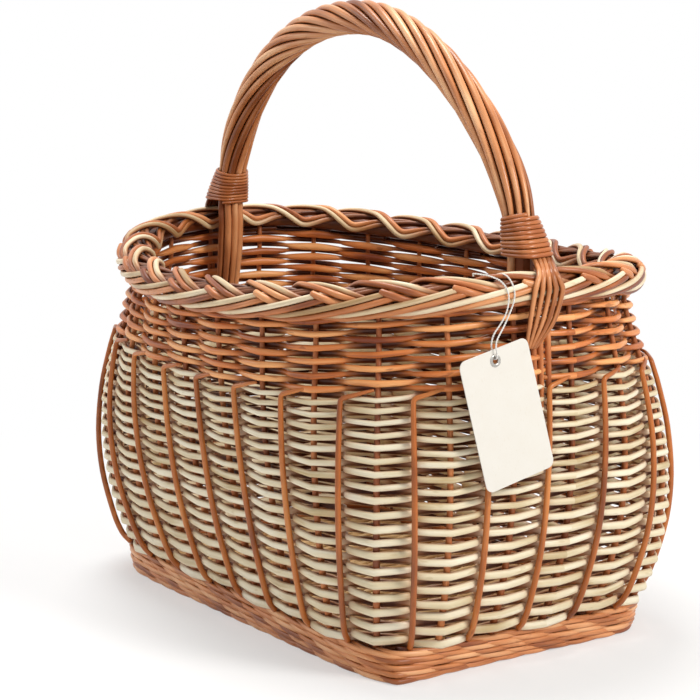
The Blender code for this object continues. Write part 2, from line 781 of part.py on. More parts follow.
def main():
    clear_scene()
    basket = new_collection("mushroom_foraging_basket")
    pale = material("peeled willow, pale", (0.72, 0.62, 0.43), 0.55)
    brown = material("steamed willow, brown", (0.42, 0.18, 0.07), 0.5)
    foot_finish = material("steamed willow, stout", (0.38, 0.17, 0.07), 0.55)
    rib_finish = material("rib willow", (0.36, 0.15, 0.06), 0.45)
    handle_finish = material("handle willow", (0.55, 0.27, 0.12), 0.45)
    skein = material("split willow skein", (0.48, 0.20, 0.08), 0.35)
    braid_finish = material("plait willow", (0.62, 0.42, 0.24), 0.5)
    base_finish = material("base willow", (0.60, 0.46, 0.28), 0.6)
    card = material("card", (0.86, 0.83, 0.76), 0.7)
    steel = material("eyelet steel", (0.62, 0.60, 0.57), 0.3, 1.0)
    cord = material("white string", (0.80, 0.79, 0.75), 0.6)

    inner_face = make_foot(foot_finish, basket)
    make_base(inner_face, base_finish, base_finish, basket)
    make_walls(pale, brown, basket)
    make_braid(braid_finish, basket)
    make_ribs(rib_finish, basket)
    radius = make_handle(handle_finish, handle_finish, basket)
    make_collars(radius, skein, basket)
    make_tag(card, steel, cord, basket)


main()
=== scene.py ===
"""Look of the mushroom foraging basket: willow rods, plait, roped handle and swing tag.

Metres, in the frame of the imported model: +Z up, the handle spans X, and the tag hangs
at the +X end. Sizes are those of the part.
"""

import math

import bpy
import numpy as np
from mathutils import Matrix, Vector

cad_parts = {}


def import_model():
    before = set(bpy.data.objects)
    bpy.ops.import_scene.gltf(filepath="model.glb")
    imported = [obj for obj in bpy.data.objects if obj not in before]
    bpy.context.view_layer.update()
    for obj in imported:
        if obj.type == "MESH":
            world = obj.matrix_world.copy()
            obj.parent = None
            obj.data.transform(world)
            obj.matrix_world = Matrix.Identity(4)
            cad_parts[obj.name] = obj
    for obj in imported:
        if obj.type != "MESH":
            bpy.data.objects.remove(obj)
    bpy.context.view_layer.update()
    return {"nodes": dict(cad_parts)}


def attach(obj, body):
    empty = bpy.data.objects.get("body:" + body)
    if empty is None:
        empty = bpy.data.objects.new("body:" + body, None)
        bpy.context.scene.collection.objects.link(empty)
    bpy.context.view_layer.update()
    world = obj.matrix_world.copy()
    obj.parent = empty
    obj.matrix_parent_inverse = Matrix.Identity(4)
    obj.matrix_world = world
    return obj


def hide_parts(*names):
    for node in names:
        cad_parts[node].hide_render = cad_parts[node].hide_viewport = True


# Rods: the way that sets where their rings start, a spare one for rods that run almost along
# it, and how their ends round off
SIDE_LEAD = (0.3, 0.2, 0.93)
SPARE_LEAD = (0.9, 0.1, 0.1)
STRING_LEAD = (0.0, 1.0, 0.1)
LEAST_SLANT = 0.2
END_BULGE_SHARE = 0.35
END_RADIUS_SHARE = 0.7

# Sizes of the part
FOOT_LENGTH = 0.344
FOOT_WIDTH = 0.224
RIM_LENGTH = 0.392
RIM_WIDTH = 0.294
BELLY_SWELL_LENGTH = 0.016
BELLY_SWELL_WIDTH = 0.0095
FOOT_SQUARENESS = 8.0
RIM_SQUARENESS = 2.1
SQUARENESS_EASE = 1.5
BELLY_EASE = 0.8
FOOT_HEIGHT = 0.020
BAND_HEIGHT = 0.177
RIM_HEIGHT = 0.230
RIM_RISE = 0.015
SEAT_GAP = 0.0003
ROD_GAP = 0.00045
WALL_THICKNESS = 0.008
STAKES = 26
STAKE_SHIFT_SHARE = 0.29
BRAID_WIDTH = 0.026
BRAID_HEIGHT = 0.024
WALL_HEIGHT = RIM_HEIGHT - BRAID_HEIGHT / 2 - SEAT_GAP - FOOT_HEIGHT - SEAT_GAP
BAND_CLIMB = (BAND_HEIGHT - FOOT_HEIGHT) / WALL_HEIGHT
TURN = 2 * math.pi
OUTLINE_STEPS = 2880

# Base, on its sticks: long rods, and rods that cross over and under them
STICK_DIAMETER = 0.008
STICK_LIFT = 0.0005
BASE_THICKNESS = 0.0055
BASE_INSET = 0.0072
BASE_MIDDLE = STICK_LIFT + STICK_DIAMETER + SEAT_GAP + BASE_THICKNESS / 2
LONG_RODS = 9
LONG_ROD_SHARE = 0.86
LONG_ROD_RADIUS = 0.0013
CROSS_RODS = 84
CROSS_ROD_RADIUS = 0.00178
CROSS_ROD_BOW = 0.0012
CROSS_ROD_POINTS = 46

# Lower weave of split willow: rows, their heights from the foot up, and a rod's section
LOWER_ROWS = 38
LOWER_PITCH_LOW = 0.0051
LOWER_PITCH_HIGH = 0.00315
LOWER_FILL_SHARE = 1.16
SPLIT_THICKNESS = 0.0032
SPLIT_SECTION_SHARES = (
    (-0.5, -0.78),
    (0.02, -1.0),
    (0.38, -0.66),
    (0.52, 0.0),
    (0.38, 0.66),
    (0.02, 1.0),
    (-0.5, 0.78),
    (-0.56, 0.0),
)

# Upper weave of thin round willow
UPPER_ROWS = 10
UPPER_FILL_SHARE = 1.06

# Course of a row: its reach before and behind the stakes, its stray up and down and its sag in
# front of them, how it crosses over (1 is an even wave, 0 a sudden step), how much thinner it
# is at the crossing and how much fuller behind
LOWER_COURSE = {
    "reach": 0.0039,
    "stray": 0.00046,
    "sag": 0.0012,
    "crossing": 0.36,
    "thinner": 0.2,
    "fuller": 0.42,
}
UPPER_COURSE = {
    "reach": 0.0036,
    "stray": 0.0005,
    "sag": 0.0004,
    "crossing": 0.72,
    "thinner": 0.26,
    "fuller": 0.36,
}
UNEVENNESS_SHARE = 0.07
SLOW_WAVES = 9
UNEVEN_WAVES = 21
QUICK_WAVES = 26
# How the painted shade of a row eases over its crossing and spreads across its section
FACING_EASE = 0.7
FACING_REACH = 1.4
STEP_SHARES = (0.0, 0.09, 0.21, 0.32, 0.41, 0.465, 0.5, 0.535, 0.59, 0.68, 0.79, 0.91)
STRAIGHTNESS_SHARE = 0.8

# Stakes in the wall, and short ones beside the feet of the handle
STAKE_DIAMETER = 0.0048
STAKE_CLIMBS = (-0.004, 1.03)
STAKE_TIP_SHARE = 0.72
STAKE_POINTS = 22
SHORT_STAKE_PLACES = (-0.0095, -0.0045, 0.0015)
SHORT_STAKE_CLIMBS = (0.72, 0.93)
SHORT_STAKE_SHARES = (0.62, 0.95)
SHORT_STAKE_STAND_OFF = 0.0013
SHORT_STAKE_STRAY = 0.01

# Shade in the grooves between rods: at a rod's side, and its loss from there to the open face
WEAVE_SHADE = (0.38, 0.7)
WALING_SHADE = (0.5, 1.0)
PLAIT_SHADE = (0.42, 0.95)
COIL_SHADE = (0.8, 1.25)
FAN_SHADE = (0.75, 1.5)

# Plait
PLAIT_RADIUS = 0.0110
PLAIT_FLATNESS = 0.93
PLAIT_DEPTH = 0.0039
PLAIT_SWELL_SHARE = 0.11
PLAIT_SLIM_REACH = 0.045
PLAIT_ROD_RADIUS = 0.0019
PLAIT_ROD_SHARES = (0.92, 1.06)
PLAIT_START = 0.2
PLAIT_STRAY = 0.012
PLAIT_UNEVENNESS_SHARE = 0.03
PLAIT_SUNK_SHADE = 0.8
STRAND_STRAY = 0.0001
PAIR_SHIFT = PLAIT_ROD_RADIUS * 1.04
STUB_SHIFT = PAIR_SHIFT * 3.4
STUB_RADIUS = PLAIT_ROD_RADIUS * 1.22
FILLING_STEPS = 260
FILLING_SHADE = 0.9

# Where the string presses the plait in
PRESS_DEPTH = 0.0007
PRESS_PLACE = -0.0464
PRESS_REACH = 0.014

# Ways of a strand and of a cut end: stakes along the rim, degrees outwards from the top, and
# depth under the plait's face as a share of its depth
PLAIT_ROUTE = (
    (-0.50, 161, 1.10),
    (0.00, 148, 0.55),
    (0.35, 138, 0.08),
    (0.80, 122, 0.0),
    (1.40, 97, 0.0),
    (1.88, 73, 0.04),
    (2.05, 63, 0.5),
    (2.20, 55, 0.85),
    (2.38, 44, 1.0),
    (2.70, 20, 1.0),
    (3.10, -15, 1.0),
    (3.50, -52, 0.95),
    (3.82, -82, 0.45),
    (4.02, -88, 0.12),
    (4.22, -64, 0.0),
    (4.40, -36, 0.0),
    (4.61, -6, 0.0),
    (4.96, 24, 0.0),
    (5.28, 49, 0.08),
    (5.46, 62, 0.6),
    (5.66, 80, 1.0),
    (6.00, 108, 1.05),
)
STUB_ROUTE = (
    (4.92, 21, -0.06),
    (5.02, 29, -0.04),
    (5.14, 39, 0.08),
    (5.29, 51, 0.7),
    (5.46, 64, 1.1),
)

# Ribs: straight up between the stakes, then kinked over and tucked in. Along a rib, shares of
# the band's height, the space between two stakes, the stand-off and the diameter
RIB_DIAMETER = 0.0040
RIB_STAND_OFF = 0.0056
RIB_STRAY = 0.012
RIB_SHARES = (
    (0.006, 0.0, 0.55, 0.95),
    (0.05, 0.0, 0.95, 1.0),
    (0.14, 0.0, 1.0, 1.0),
    (0.33, 0.0, 1.0, 1.0),
    (0.52, 0.0, 1.0, 0.97),
    (0.72, 0.0, 1.0, 0.94),
    (0.88, 0.0, 1.0, 0.9),
    (0.962, 0.0, 1.0, 0.86),
    (0.982, 0.018, 1.0, 0.84),
    (0.990, 0.08, 0.98, 0.80),
    (0.998, 0.20, 0.94, 0.72),
    (1.008, 0.34, 0.86, 0.6),
    (1.014, 0.46, 0.55, 0.48),
)

# Handle
HANDLE_INSET = 0.020
HANDLE_OFFSET = -0.008
HANDLE_TOP = 0.4045
HANDLE_LEAN = math.radians(12)
HANDLE_FOOT_PULL = 0.040
HANDLE_CROWN_FRONT = 0.083
HANDLE_CROWN_BACK = 0.114
ROD_RADIUS = 0.0025
HANDLE_RODS = 10
HANDLE_TURNS = 1.5
HANDLE_POINTS = 150
ARCH_HALF_POINTS = 400
TWIST_CALM_SHARE = 0.55
CORE_BEND_DROP = 0.016
CORE_TAIL_DROP = 0.062
ROD_UNEVENNESS_SHARE = 0.015
BUTT_DROP = 0.034
BUTT_TIP_SHARE = 0.75
BUTT_EASE_SHARE = 0.2
BUTT_PINCH_SHARE = 0.9
BUTT_END_SHARE = 0.62
COLLAR_HEIGHT = 0.024
COLLAR_LIFT = 0.0012
COLLAR_SQUARENESS = 4.2
COLLAR_WRAPS = 9.6
COLLAR_STEPS = 44
COLLAR_SQUEEZE = 0.0009
COLLAR_SQUEEZE_REACH = 0.014
COLLAR_OVAL = 0.0008
COLLAR_SHARES = (0.04, 1.06)
COLLAR_SLANT_SHARE = 0.006
COLLAR_START = 2.4

# Section of a collar's skein: share of a turn's height, how far it stands out, and shade
SKEIN_SECTION = (
    (-0.50, -0.0003, 1.0),
    (-0.47, 0.0006, 0.55),
    (-0.32, 0.0011, 0.0),
    (0.0, 0.0013, 0.0),
    (0.32, 0.0011, 0.0),
    (0.47, 0.0006, 0.55),
    (0.50, -0.0003, 1.0),
    (0.0, -0.0006, 1.0),
)

# Fans of rod ends over the plait, from the collar down
FAN_SPREAD = 0.0078
FAN_START_PITCH = 0.0032
FAN_START_SHIFT = 0.0022
FAN_BOW = 0.0012
FAN_PITCHES = (0.0031, 0.0043, 0.0050)
FAN_ANGLES = tuple(math.radians(angle) for angle in (42, 70, 98))
FAN_LEAN = 0.015
FAN_LEAN_SHARES = (0.30, 0.42, 0.46)
FAN_PRESS = 0.0012
FAN_TIP_PITCH = 0.0016
FAN_BRIDGE = 0.0042
FAN_BRIDGE_PITCH_SHARE = 0.58
FAN_BRIDGE_LEAN_SHARE = 0.62
FAN_TIP_DROP = 0.020
FAN_TAPER_SHARES = (0.68, 0.72, 0.74, 0.72, 0.62, 0.46)
FAN_OPEN_WAY = (0.85, 0.5)
WEAVE_RELIEF = 0.0018

# Foot: strokes of waling, each past some of its stakes, which bow out and sink at both ends
FOOT_ROWS = 5
FOOT_STAKES = STAKES * 2
STROKE_STAKES = 3.2
STROKE_STEPS = 8
STROKE_SHIFT_STEPS = 5
STROKE_RADIUS = 0.00195
STROKE_RADIUS_SHARES = (0.84, 1.1)
STROKE_END_SHARE = 0.66
STROKE_BOW = 0.0086
STROKE_BOW_EASE = 0.6
STROKE_SHADE_EASE = 0.9
STROKE_END_SHADE = 1.25
STROKE_SINK = 0.0056
STROKE_FALL = 0.0046
STROKE_STRAY = 0.0003
FOOT_TUCK = 0.0036
FLOOR_CLEAR_SHARE = 1.02

# Its drawn-out corners are next to the tag and across from it
FOOT_CORNER = (0.162, -0.0995)
FOOT_CORNER_PULL = (0.0100, -0.0022)
FOOT_CORNER_REACH = 0.018

# Rods behind the waling, which close the way between wall and base
LINING_HEIGHTS = (0.0024, 0.0064, 0.0104, 0.0144, 0.0182)
LINING_INSET = 0.0052
LINING_WAVE = 0.0006
LINING_RADIUS = 0.0023
LINING_TURN_HEIGHT = 0.002
LINING_SHADE = 0.6

# Swing tag
TAG_WIDTH = 0.054
TAG_HEIGHT = 0.084
TAG_THICKNESS = 0.0006
TAG_CORNER = 0.005
TAG_HOLE_INSET = 0.007
TAG_HOLE_RADIUS = 0.0027
TAG_HOLE_STEPS = 36
TAG_EDGE = 0.00008
TAG_TILT = math.radians(12)
TAG_LEAN = math.radians(5.5)
EYELET_PLACE = (0.2067, -0.0540, 0.2055)
EYELET_BORE_RADIUS = 0.0025
EYELET_LIP_RADIUS = 0.0039
FLANGE_RADIUS = 0.0030
FLANGE_HALF_WIDTH = 0.0010
FLANGE_RISE = 0.0005
FLANGE_SEAT = 0.00040
LIP_SEAT = 0.00034
STRING_POINTS = 420
PLY_RADIUS = 0.00033
PLY_OFFSET = 0.00027
PLY_TURN_LENGTH = 0.0034
STRING_ROUTE = (
    (0.1895, -0.0374, 0.2539),
    (0.1898, -0.0373, 0.2553),
    (0.1937, -0.0373, 0.2553),
    (0.1975, -0.0372, 0.2540),
    (0.2014, -0.0371, 0.2504),
    (0.2038, -0.0372, 0.2454),
    (0.2044, -0.0382, 0.2400),
    (0.2047, -0.0412, 0.2340),
    (0.2058, -0.0466, 0.2260),
    (0.2070, -0.0524, 0.2190),
    (0.2083, -0.0546, 0.2150),
    (0.2090, -0.0545, 0.2112),
    (0.20890, -0.0540, 0.20885),
    (0.20858, -0.0540, 0.20765),
    (0.20770, -0.0540, 0.20677),
    (0.20650, -0.0540, 0.20645),
    (0.20530, -0.0540, 0.20677),
    (0.20442, -0.0540, 0.20765),
    (0.20410, -0.0540, 0.20885),
    (0.2041, -0.0545, 0.2115),
    (0.2046, -0.0553, 0.2160),
    (0.2044, -0.0532, 0.2215),
    (0.2042, -0.0478, 0.2275),
    (0.2039, -0.0436, 0.2335),
    (0.2037, -0.0418, 0.2395),
    (0.2034, -0.0416, 0.2450),
    (0.2012, -0.0424, 0.2495),
    (0.1976, -0.0446, 0.2531),
    (0.1920, -0.0483, 0.2553),
    (0.1881, -0.0522, 0.2561),
    (0.1850, -0.0547, 0.2562),
    (0.1852, -0.0547, 0.2547),
)

# Willows: light, middle and dark tone, then gloss, streaks, scuffs and spread of tone
WILLOWS = {
    "peeled willow": ((242, 234, 210), (226, 212, 178), (188, 164, 116), 0.42, 0.6, 0.3, 0.5),
    "steamed willow": ((246, 176, 112), (212, 122, 60), (124, 54, 20), 0.38, 0.7, 0.5, 0.8),
    "stout steamed willow": ((240, 184, 134), (214, 140, 88), (142, 76, 40), 0.38, 0.7, 0.3, 0.7),
    "rib willow": ((212, 134, 68), (182, 102, 44), (124, 62, 26), 0.32, 0.5, 0.3, 0.4),
    "stake willow": ((214, 136, 80), (180, 102, 54), (122, 62, 30), 0.45, 0.5, 0.5, 0.6),
    "handle willow": ((242, 190, 142), (208, 138, 88), (132, 70, 34), 0.32, 0.6, 0.3, 0.6),
    "skein willow": ((216, 146, 90), (176, 100, 52), (112, 54, 24), 0.25, 0.5, 0.3, 0.6),
    "pale plait willow": ((242, 228, 198), (222, 200, 162), (176, 142, 98), 0.38, 0.6, 0.3, 0.7),
    "brown plait willow": ((226, 158, 106), (188, 112, 64), (122, 60, 30), 0.36, 0.7, 0.4, 0.8),
    "base willow": ((214, 184, 136), (188, 150, 100), (150, 108, 66), 0.55, 0.5, 0.5, 0.6),
}
# Painted shade in the grooves between rods: a warm half shade, as from light bounced between the rods,
# then the deepest shade
PAINTED_WARM_SHADE = (192, 112, 50)
PAINTED_DEEP_SHADE = (74, 25, 6)
CARD_COLOURS = ((225, 222, 215), (220, 215, 205), (206, 195, 174))
STEEL_COLOURS = ((206, 203, 196), (166, 162, 156))
STRING_COLOURS = ((206, 203, 196), (244, 243, 240))
GRAIN_DEPTH = 0.00016
CARD_TOOTH_DEPTH = 0.00008
STEEL_MARK_DEPTH = 0.00003
STRING_FLUFF_DEPTH = 0.00012

# Fineness of the marks on a finish, per metre: along a rod or ply and twice across it, or in
# the three ways of the card and the eyelet
FIBRES = (30.0, 620.0, 620.0)
STRANDS = (22.0, 380.0, 380.0)
DRIFTS = (17.0, 60.0, 60.0)
BUDS = (95.0, 330.0, 330.0)
CARD_TOOTH = (2600.0, 2600.0, 2600.0)
CARD_CLOUDS = (70.0, 70.0, 70.0)
CARD_FIBRES = (900.0, 300.0, 300.0)
TURNING_MARKS = (3000.0, 3000.0, 500.0)
STRING_FLUFF = (1500.0, 2400.0, 2400.0)
STRING_SHADES = (160.0, 300.0, 300.0)

# Studio: lamps by place, size, power and tint, and the rays that see the white background
LAMPS = {
    "key": ((1.45, 0.42, 1.3), 0.6, 22.0, (1.0, 0.975, 0.935)),
    "side": ((-1.5, -1.3, 0.9), 1.0, 6.0, (1.0, 0.985, 0.97)),
    "top": ((-0.45, 0.0, 2.0), 0.9, 27.5, (1.0, 0.99, 0.98)),
}
LAMP_AIM = (0.0, 0.0, 0.16)
BACKGROUND_RAYS = ("Is Camera Ray", "Is Glossy Ray", "Is Transmission Ray")
WHITE = (1.0, 1.0, 1.0, 1.0)
SKY_TINT = (1.0, 0.985, 0.965, 1.0)
SKY_STRENGTH = 0.42
FLOOR_COLOUR = (0.88, 0.885, 0.895, 1.0)
FLOOR_HALF_WIDTH = 6.0
FLOOR_FADE = (0.26, 0.62)
FLOOR_FADE_START = 0.45

# Camera, fitted to the photograph
PHOTO_PIXELS = 700.0
FOCAL_PIXELS = 2336.0
SHIFT_PIXELS = (-2.0, -9.0)
SENSOR_WIDTH = 36.0
SIGHT_LENGTH = 50.0
CAMERA_DISTANCE = 1.595
CAMERA_BEARING = 0.960
CAMERA_HEIGHT = 0.467
CAMERA_DIP = 0.177
CAMERA_HEADING = 0.969

chance = np.random.RandomState(7)


# Finishes


class Value:
    """A number that varies over a surface, for use in plain arithmetic."""

    def __init__(self, nodes, socket):
        self.nodes = nodes
        self.socket = socket

    def reckon(self, operation, *others):
        sources = [other.socket if isinstance(other, Value) else other for other in others]
        made = self.nodes.node("Math", {"operation": operation}, dict(enumerate(sources)))
        return Value(self.nodes, made.outputs[0])

    def __add__(self, other):
        return self.reckon("ADD", self, other)

    def __radd__(self, other):
        return self.reckon("ADD", other, self)

    def __sub__(self, other):
        return self.reckon("SUBTRACT", self, other)

    def __rsub__(self, other):
        return self.reckon("SUBTRACT", other, self)

    def __mul__(self, other):
        return self.reckon("MULTIPLY", self, other)

    def __rmul__(self, other):
        return self.reckon("MULTIPLY", other, self)

    def held(self):
        """The value kept between 0 and 1."""
        return self.reckon("MAXIMUM", self.reckon("MINIMUM", self, 1.0), 0.0)


class Nodes:
    """A tree of nodes under construction."""

    def __init__(self, tree):
        self.tree = tree

    def node(self, kind, settings, sockets):
        """Add a node: its settings first, then a value or a link for each socket."""
        made = self.tree.nodes.new("ShaderNode" + kind)
        for setting, choice in settings.items():
            setattr(made, setting, choice)
        for socket, source in sockets.items():
            source = source.socket if isinstance(source, Value) else source
            if isinstance(source, bpy.types.NodeSocket):
                self.tree.links.new(source, made.inputs[socket])
            else:
                made.inputs[socket].default_value = source
        return made

    def background(self):
        """1 for the rays that see the white background, 0 for those that light the basket."""
        path = self.node("LightPath", {}, {})
        seen, mirrored, passed = (Value(self, path.outputs[ray]) for ray in BACKGROUND_RAYS)
        return (seen + mirrored + passed).held()


class Finish(Nodes):
    """A material under construction, with its shader's plain values set at once."""

    def __init__(self, name, **plain):
        self.material = bpy.data.materials.new(name)
        self.material.use_nodes = True
        super().__init__(self.material.node_tree)
        self.shader = self.tree.nodes["Principled BSDF"]
        for socket, amount in plain.items():
            self.shader.inputs[socket.replace("_", " ")].default_value = amount

    def attribute(self, name, output):
        return self.node("Attribute", {"attribute_name": name}, {}).outputs[output]

    def spot(self):
        """Place on the piece, in its own frame."""
        return self.node("TexCoord", {}, {}).outputs["Object"]

    def noise(self, vector, scale, detail=2.0, roughness=0.5):
        place = self.node("VectorMath", {"operation": "MULTIPLY"}, {0: vector, 1: scale}).outputs[0]
        sockets = {"Vector": place, "Scale": 1.0, "Detail": detail, "Roughness": roughness}
        return Value(self, self.node("TexNoise", {}, sockets).outputs[0])

    def step(self, value, low, high):
        """0 below low, 1 above high, and smooth between."""
        sockets = {"Value": value, "From Min": low, "From Max": high}
        return Value(self, self.node("MapRange", {"interpolation_type": "SMOOTHSTEP"}, sockets).outputs[0])

    def mix(self, factor, first, second, blend="MIX"):
        settings = {"data_type": "RGBA", "blend_type": blend}
        return self.node("Mix", settings, {0: factor, 6: first, 7: second}).outputs[2]

    def grey(self, value):
        return self.node("CombineColor", {}, {0: value, 1: value, 2: value}).outputs[0]

    def feed(self, **sources):
        for socket, source in sources.items():
            source = source.socket if isinstance(source, Value) else source
            self.tree.links.new(source, self.shader.inputs[socket.replace("_", " ")])

    def bump(self, height, depth):
        made = self.node("Bump", {}, {"Distance": depth, "Height": height})
        self.feed(Normal=made.outputs[0])


def colour(red, green, blue):
    """A colour from its everyday values of 0 to 255."""
    parts = []
    for level in (red, green, blue):
        share = level / 255
        parts.append(share / 12.92 if share <= 0.04045 else ((share + 0.055) / 1.055) ** 2.4)
    return (*parts, 1.0)


def willow(name):
    """Rod: fibres along it, slow drifts of tone, buds and scuffs, and painted shade, warm then dark, where
    it lies deep in the weave.
    """
    light, middle, dark, gloss, streaks, scuffs, spread = WILLOWS[name]
    finish = Finish(name, Specular_IOR_Level=0.42)
    grain = finish.attribute("grain", "Vector")
    tone = Value(finish, finish.attribute("tone", "Fac"))
    painted_shade = Value(finish, finish.attribute("painted_shade", "Fac"))
    fibres = finish.noise(grain, FIBRES, 1.0)
    strands = finish.noise(grain, STRANDS, 1.0)
    drift = finish.noise(grain, DRIFTS)
    marks = finish.step(finish.noise(grain, BUDS, 1.0), 0.66, 0.76)
    level = (0.5 + (tone - 0.5) * spread + (drift - 0.5) * 1.6 + (strands - 0.5) * streaks).held()
    low = finish.mix(finish.step(level, 0.0, 0.55), colour(*dark), colour(*middle))
    base = finish.mix(finish.step(level, 0.42, 1.0), low, colour(*light))
    veil = finish.grey((0.8 + fibres * 0.4).held())
    worn = finish.mix(streaks, base, finish.mix(1.0, base, veil, "MULTIPLY"))
    marked = finish.mix(marks * scuffs, worn, colour(*dark))
    # Painted shade from the groove mask: first a warm half shade, then deep shade
    warm_shaded = finish.mix((painted_shade * 1.5).held() * 0.85, marked, colour(*PAINTED_WARM_SHADE))
    finish.feed(
        Base_Color=finish.mix((painted_shade * painted_shade * 1.15).held() * 0.94, warm_shaded, colour(*PAINTED_DEEP_SHADE)),
        Roughness=(gloss - 0.1 + fibres * 0.22 + marks * 0.15).held(),
    )
    finish.bump(fibres * 0.2 + strands * 0.6 - marks * 0.4, GRAIN_DEPTH)
    return finish.material


def card_finish():
    """Uncoated cream card: soft fibres and a faint tooth."""
    finish = Finish("cream card", Specular_IOR_Level=0.3)
    spot = finish.spot()
    pale, cream, dark = (colour(*shade) for shade in CARD_COLOURS)
    tooth = finish.noise(spot, CARD_TOOTH, 3.0, 0.65)
    clouds = finish.noise(spot, CARD_CLOUDS)
    fibres = finish.step(finish.noise(spot, CARD_FIBRES), 0.6, 0.75)
    paper = finish.mix((clouds * 0.8).held(), pale, cream)
    finish.feed(
        Base_Color=finish.mix(fibres * 0.22, paper, dark),
        Roughness=(0.55 + tooth * 0.25).held(),
    )
    finish.bump(tooth + fibres * 0.4, CARD_TOOTH_DEPTH)
    return finish.material


def steel_finish():
    """Nickelled eyelet with fine turning marks."""
    finish = Finish("nickelled steel", Metallic=1.0)
    bright, dull = (colour(*shade) for shade in STEEL_COLOURS)
    marks = finish.noise(finish.spot(), TURNING_MARKS)
    finish.feed(
        Base_Color=finish.mix(marks.held(), bright, dull),
        Roughness=(0.18 + marks * 0.2).held(),
    )
    finish.bump(marks, STEEL_MARK_DEPTH)
    return finish.material


def string_finish():
    """Cotton string: a little shade and fluff along its plies."""
    finish = Finish("cotton string", Specular_IOR_Level=0.25)
    grain = finish.attribute("grain", "Vector")
    fluff = finish.noise(grain, STRING_FLUFF, 3.0, 0.7)
    shade = finish.noise(grain, STRING_SHADES, 1.0)
    dark, light = (colour(*tint) for tint in STRING_COLOURS)
    finish.feed(
        Base_Color=finish.mix((fluff * 0.5 + shade * 0.5).held(), dark, light),
        Roughness=(0.7 + fluff * 0.2).held(),
    )
    finish.bump(fluff, STRING_FLUFF_DEPTH)
    return finish.material


# Mesh makers


def lengths_along(points):
    """Length of a line up to each of its points."""
    return np.concatenate([[0.0], np.cumsum(np.linalg.norm(np.diff(points, axis=0), axis=1))])


def ways_along(line):
    """Unit directions along a line, at its points."""
    ahead = np.gradient(line, axis=0)
    return ahead / np.linalg.norm(ahead, axis=1, keepdims=True)


def sides_along(line, lead=SIDE_LEAD):
    """Two directions across a line at each of its points, carried along without twisting."""
    ahead = ways_along(line)
    side = np.cross(ahead[0], lead)
    if np.linalg.norm(side) < LEAST_SLANT:
        side = np.cross(ahead[0], SPARE_LEAD)
    for way in ahead:
        side = side - way * side.dot(way)
        side /= np.linalg.norm(side)
        yield side, np.cross(way, side)


def spun(side, other, around):
    """Directions all round, from one side towards the other."""
    angles = TURN * np.arange(around) / around
    return np.cos(angles)[:, None] * side + np.sin(angles)[:, None] * other


class Bundle:
    """Rods gathered into one piece, each with its grain, its own tone and its painted shade."""

    def __init__(self):
        self.points = []
        self.faces = []
        self.grain = []
        self.tone = []
        self.painted_shade = []
        self.count = 0

    def sweep(self, grid, closed=False, tone=None, painted_shade=0.0):
        """Add a rod from rings of points, grid[along][around], closed on itself or capped."""
        grid = np.asarray(grid, float)
        along, around, _ = grid.shape
        spans = along if closed else along - 1
        first = np.arange(spans)[:, None] * around + np.arange(around)[None, :]
        after = np.arange(spans)[:, None] * around + (np.arange(around)[None, :] + 1) % around
        wrap = along * around
        quads = np.stack([first, after, (after + around) % wrap, (first + around) % wrap], axis=-1)
        quads = quads.reshape(-1, 4)
        middle = grid.mean(axis=1)
        travelled = lengths_along(np.vstack([middle, middle[:1]]))[: spans + 1] + chance.uniform(0, 60)
        spread = np.linalg.norm(grid - middle[:, None], axis=2).mean()
        angles = TURN * np.arange(around) / around
        across = np.stack([np.cos(angles), np.sin(angles)], axis=1) * spread
        corners = np.empty((spans, around, 4, 3))
        turned = np.roll(across, -1, axis=0)
        for corner, (ahead, cross) in enumerate(((0, across), (0, turned), (1, turned), (1, across))):
            corners[:, :, corner, 0] = travelled[ahead : ahead + spans, None]
            corners[:, :, corner, 1:] = cross[None]
        corners = corners.reshape(-1, 4, 3)
        flat = grid.reshape(-1, 3)
        a, b, c, d = (flat[quads[:, corner]] for corner in range(4))
        volume = (np.cross(a, b) * c).sum() + (np.cross(a, c) * d).sum()
        if not closed:
            for ring, sign in ((grid[0], -1), (grid[-1], 1)):
                fan = np.cross(ring - ring[0], np.roll(ring, -1, axis=0) - ring[0])
                volume += sign * (fan @ ring[0]).sum()
        if volume < 0:
            quads = quads[:, ::-1]
            corners = corners[:, ::-1]
        self.faces += (quads + self.count).tolist()
        self.grain.append(corners.reshape(-1, 3))
        if not closed:
            for start, backwards in ((0, volume >= 0), (wrap - around, volume < 0)):
                cap = list(range(start, start + around))
                places = across.copy()
                if backwards:
                    cap.reverse()
                    places = places[::-1]
                self.faces.append([spot + self.count for spot in cap])
                end = travelled[0] if start == 0 else travelled[-1]
                self.grain.append(np.column_stack([np.full(around, end), places]))
        self.points.append(flat)
        self.tone.append(np.full(len(flat), chance.uniform() if tone is None else tone))
        # Painted shade of each point: 0 in the open, 1 deep in a groove
        self.painted_shade.append(np.broadcast_to(np.clip(painted_shade, 0, 1), grid.shape[:2]).ravel())
        self.count += len(flat)

    def build(self, name, material, body, slot, *replaced):
        mesh = bpy.data.meshes.new(name)
        mesh.from_pydata(np.concatenate(self.points).tolist(), [], self.faces)
        grain = mesh.attributes.new("grain", "FLOAT_VECTOR", "CORNER")
        grain.data.foreach_set("vector", np.concatenate(self.grain).ravel())
        # Tone of each rod, and the painted shade that darkens its grooves
        for label, amounts in (("tone", self.tone), ("painted_shade", self.painted_shade)):
            shade = mesh.attributes.new(label, "FLOAT", "POINT")
            shade.data.foreach_set("value", np.concatenate(amounts))
        mesh.polygons.foreach_set("use_smooth", [True] * len(mesh.polygons))
        mesh.materials.append(material)
        return settle(bpy.data.objects.new(name, mesh), body, slot, *replaced)


def settle(piece, body, slot, *replaced):
    """Show a piece, let it ride on its body and stand for its solids."""
    bpy.context.scene.collection.objects.link(piece)
    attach(piece, body)
    if replaced:
        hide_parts(*replaced)
    return piece


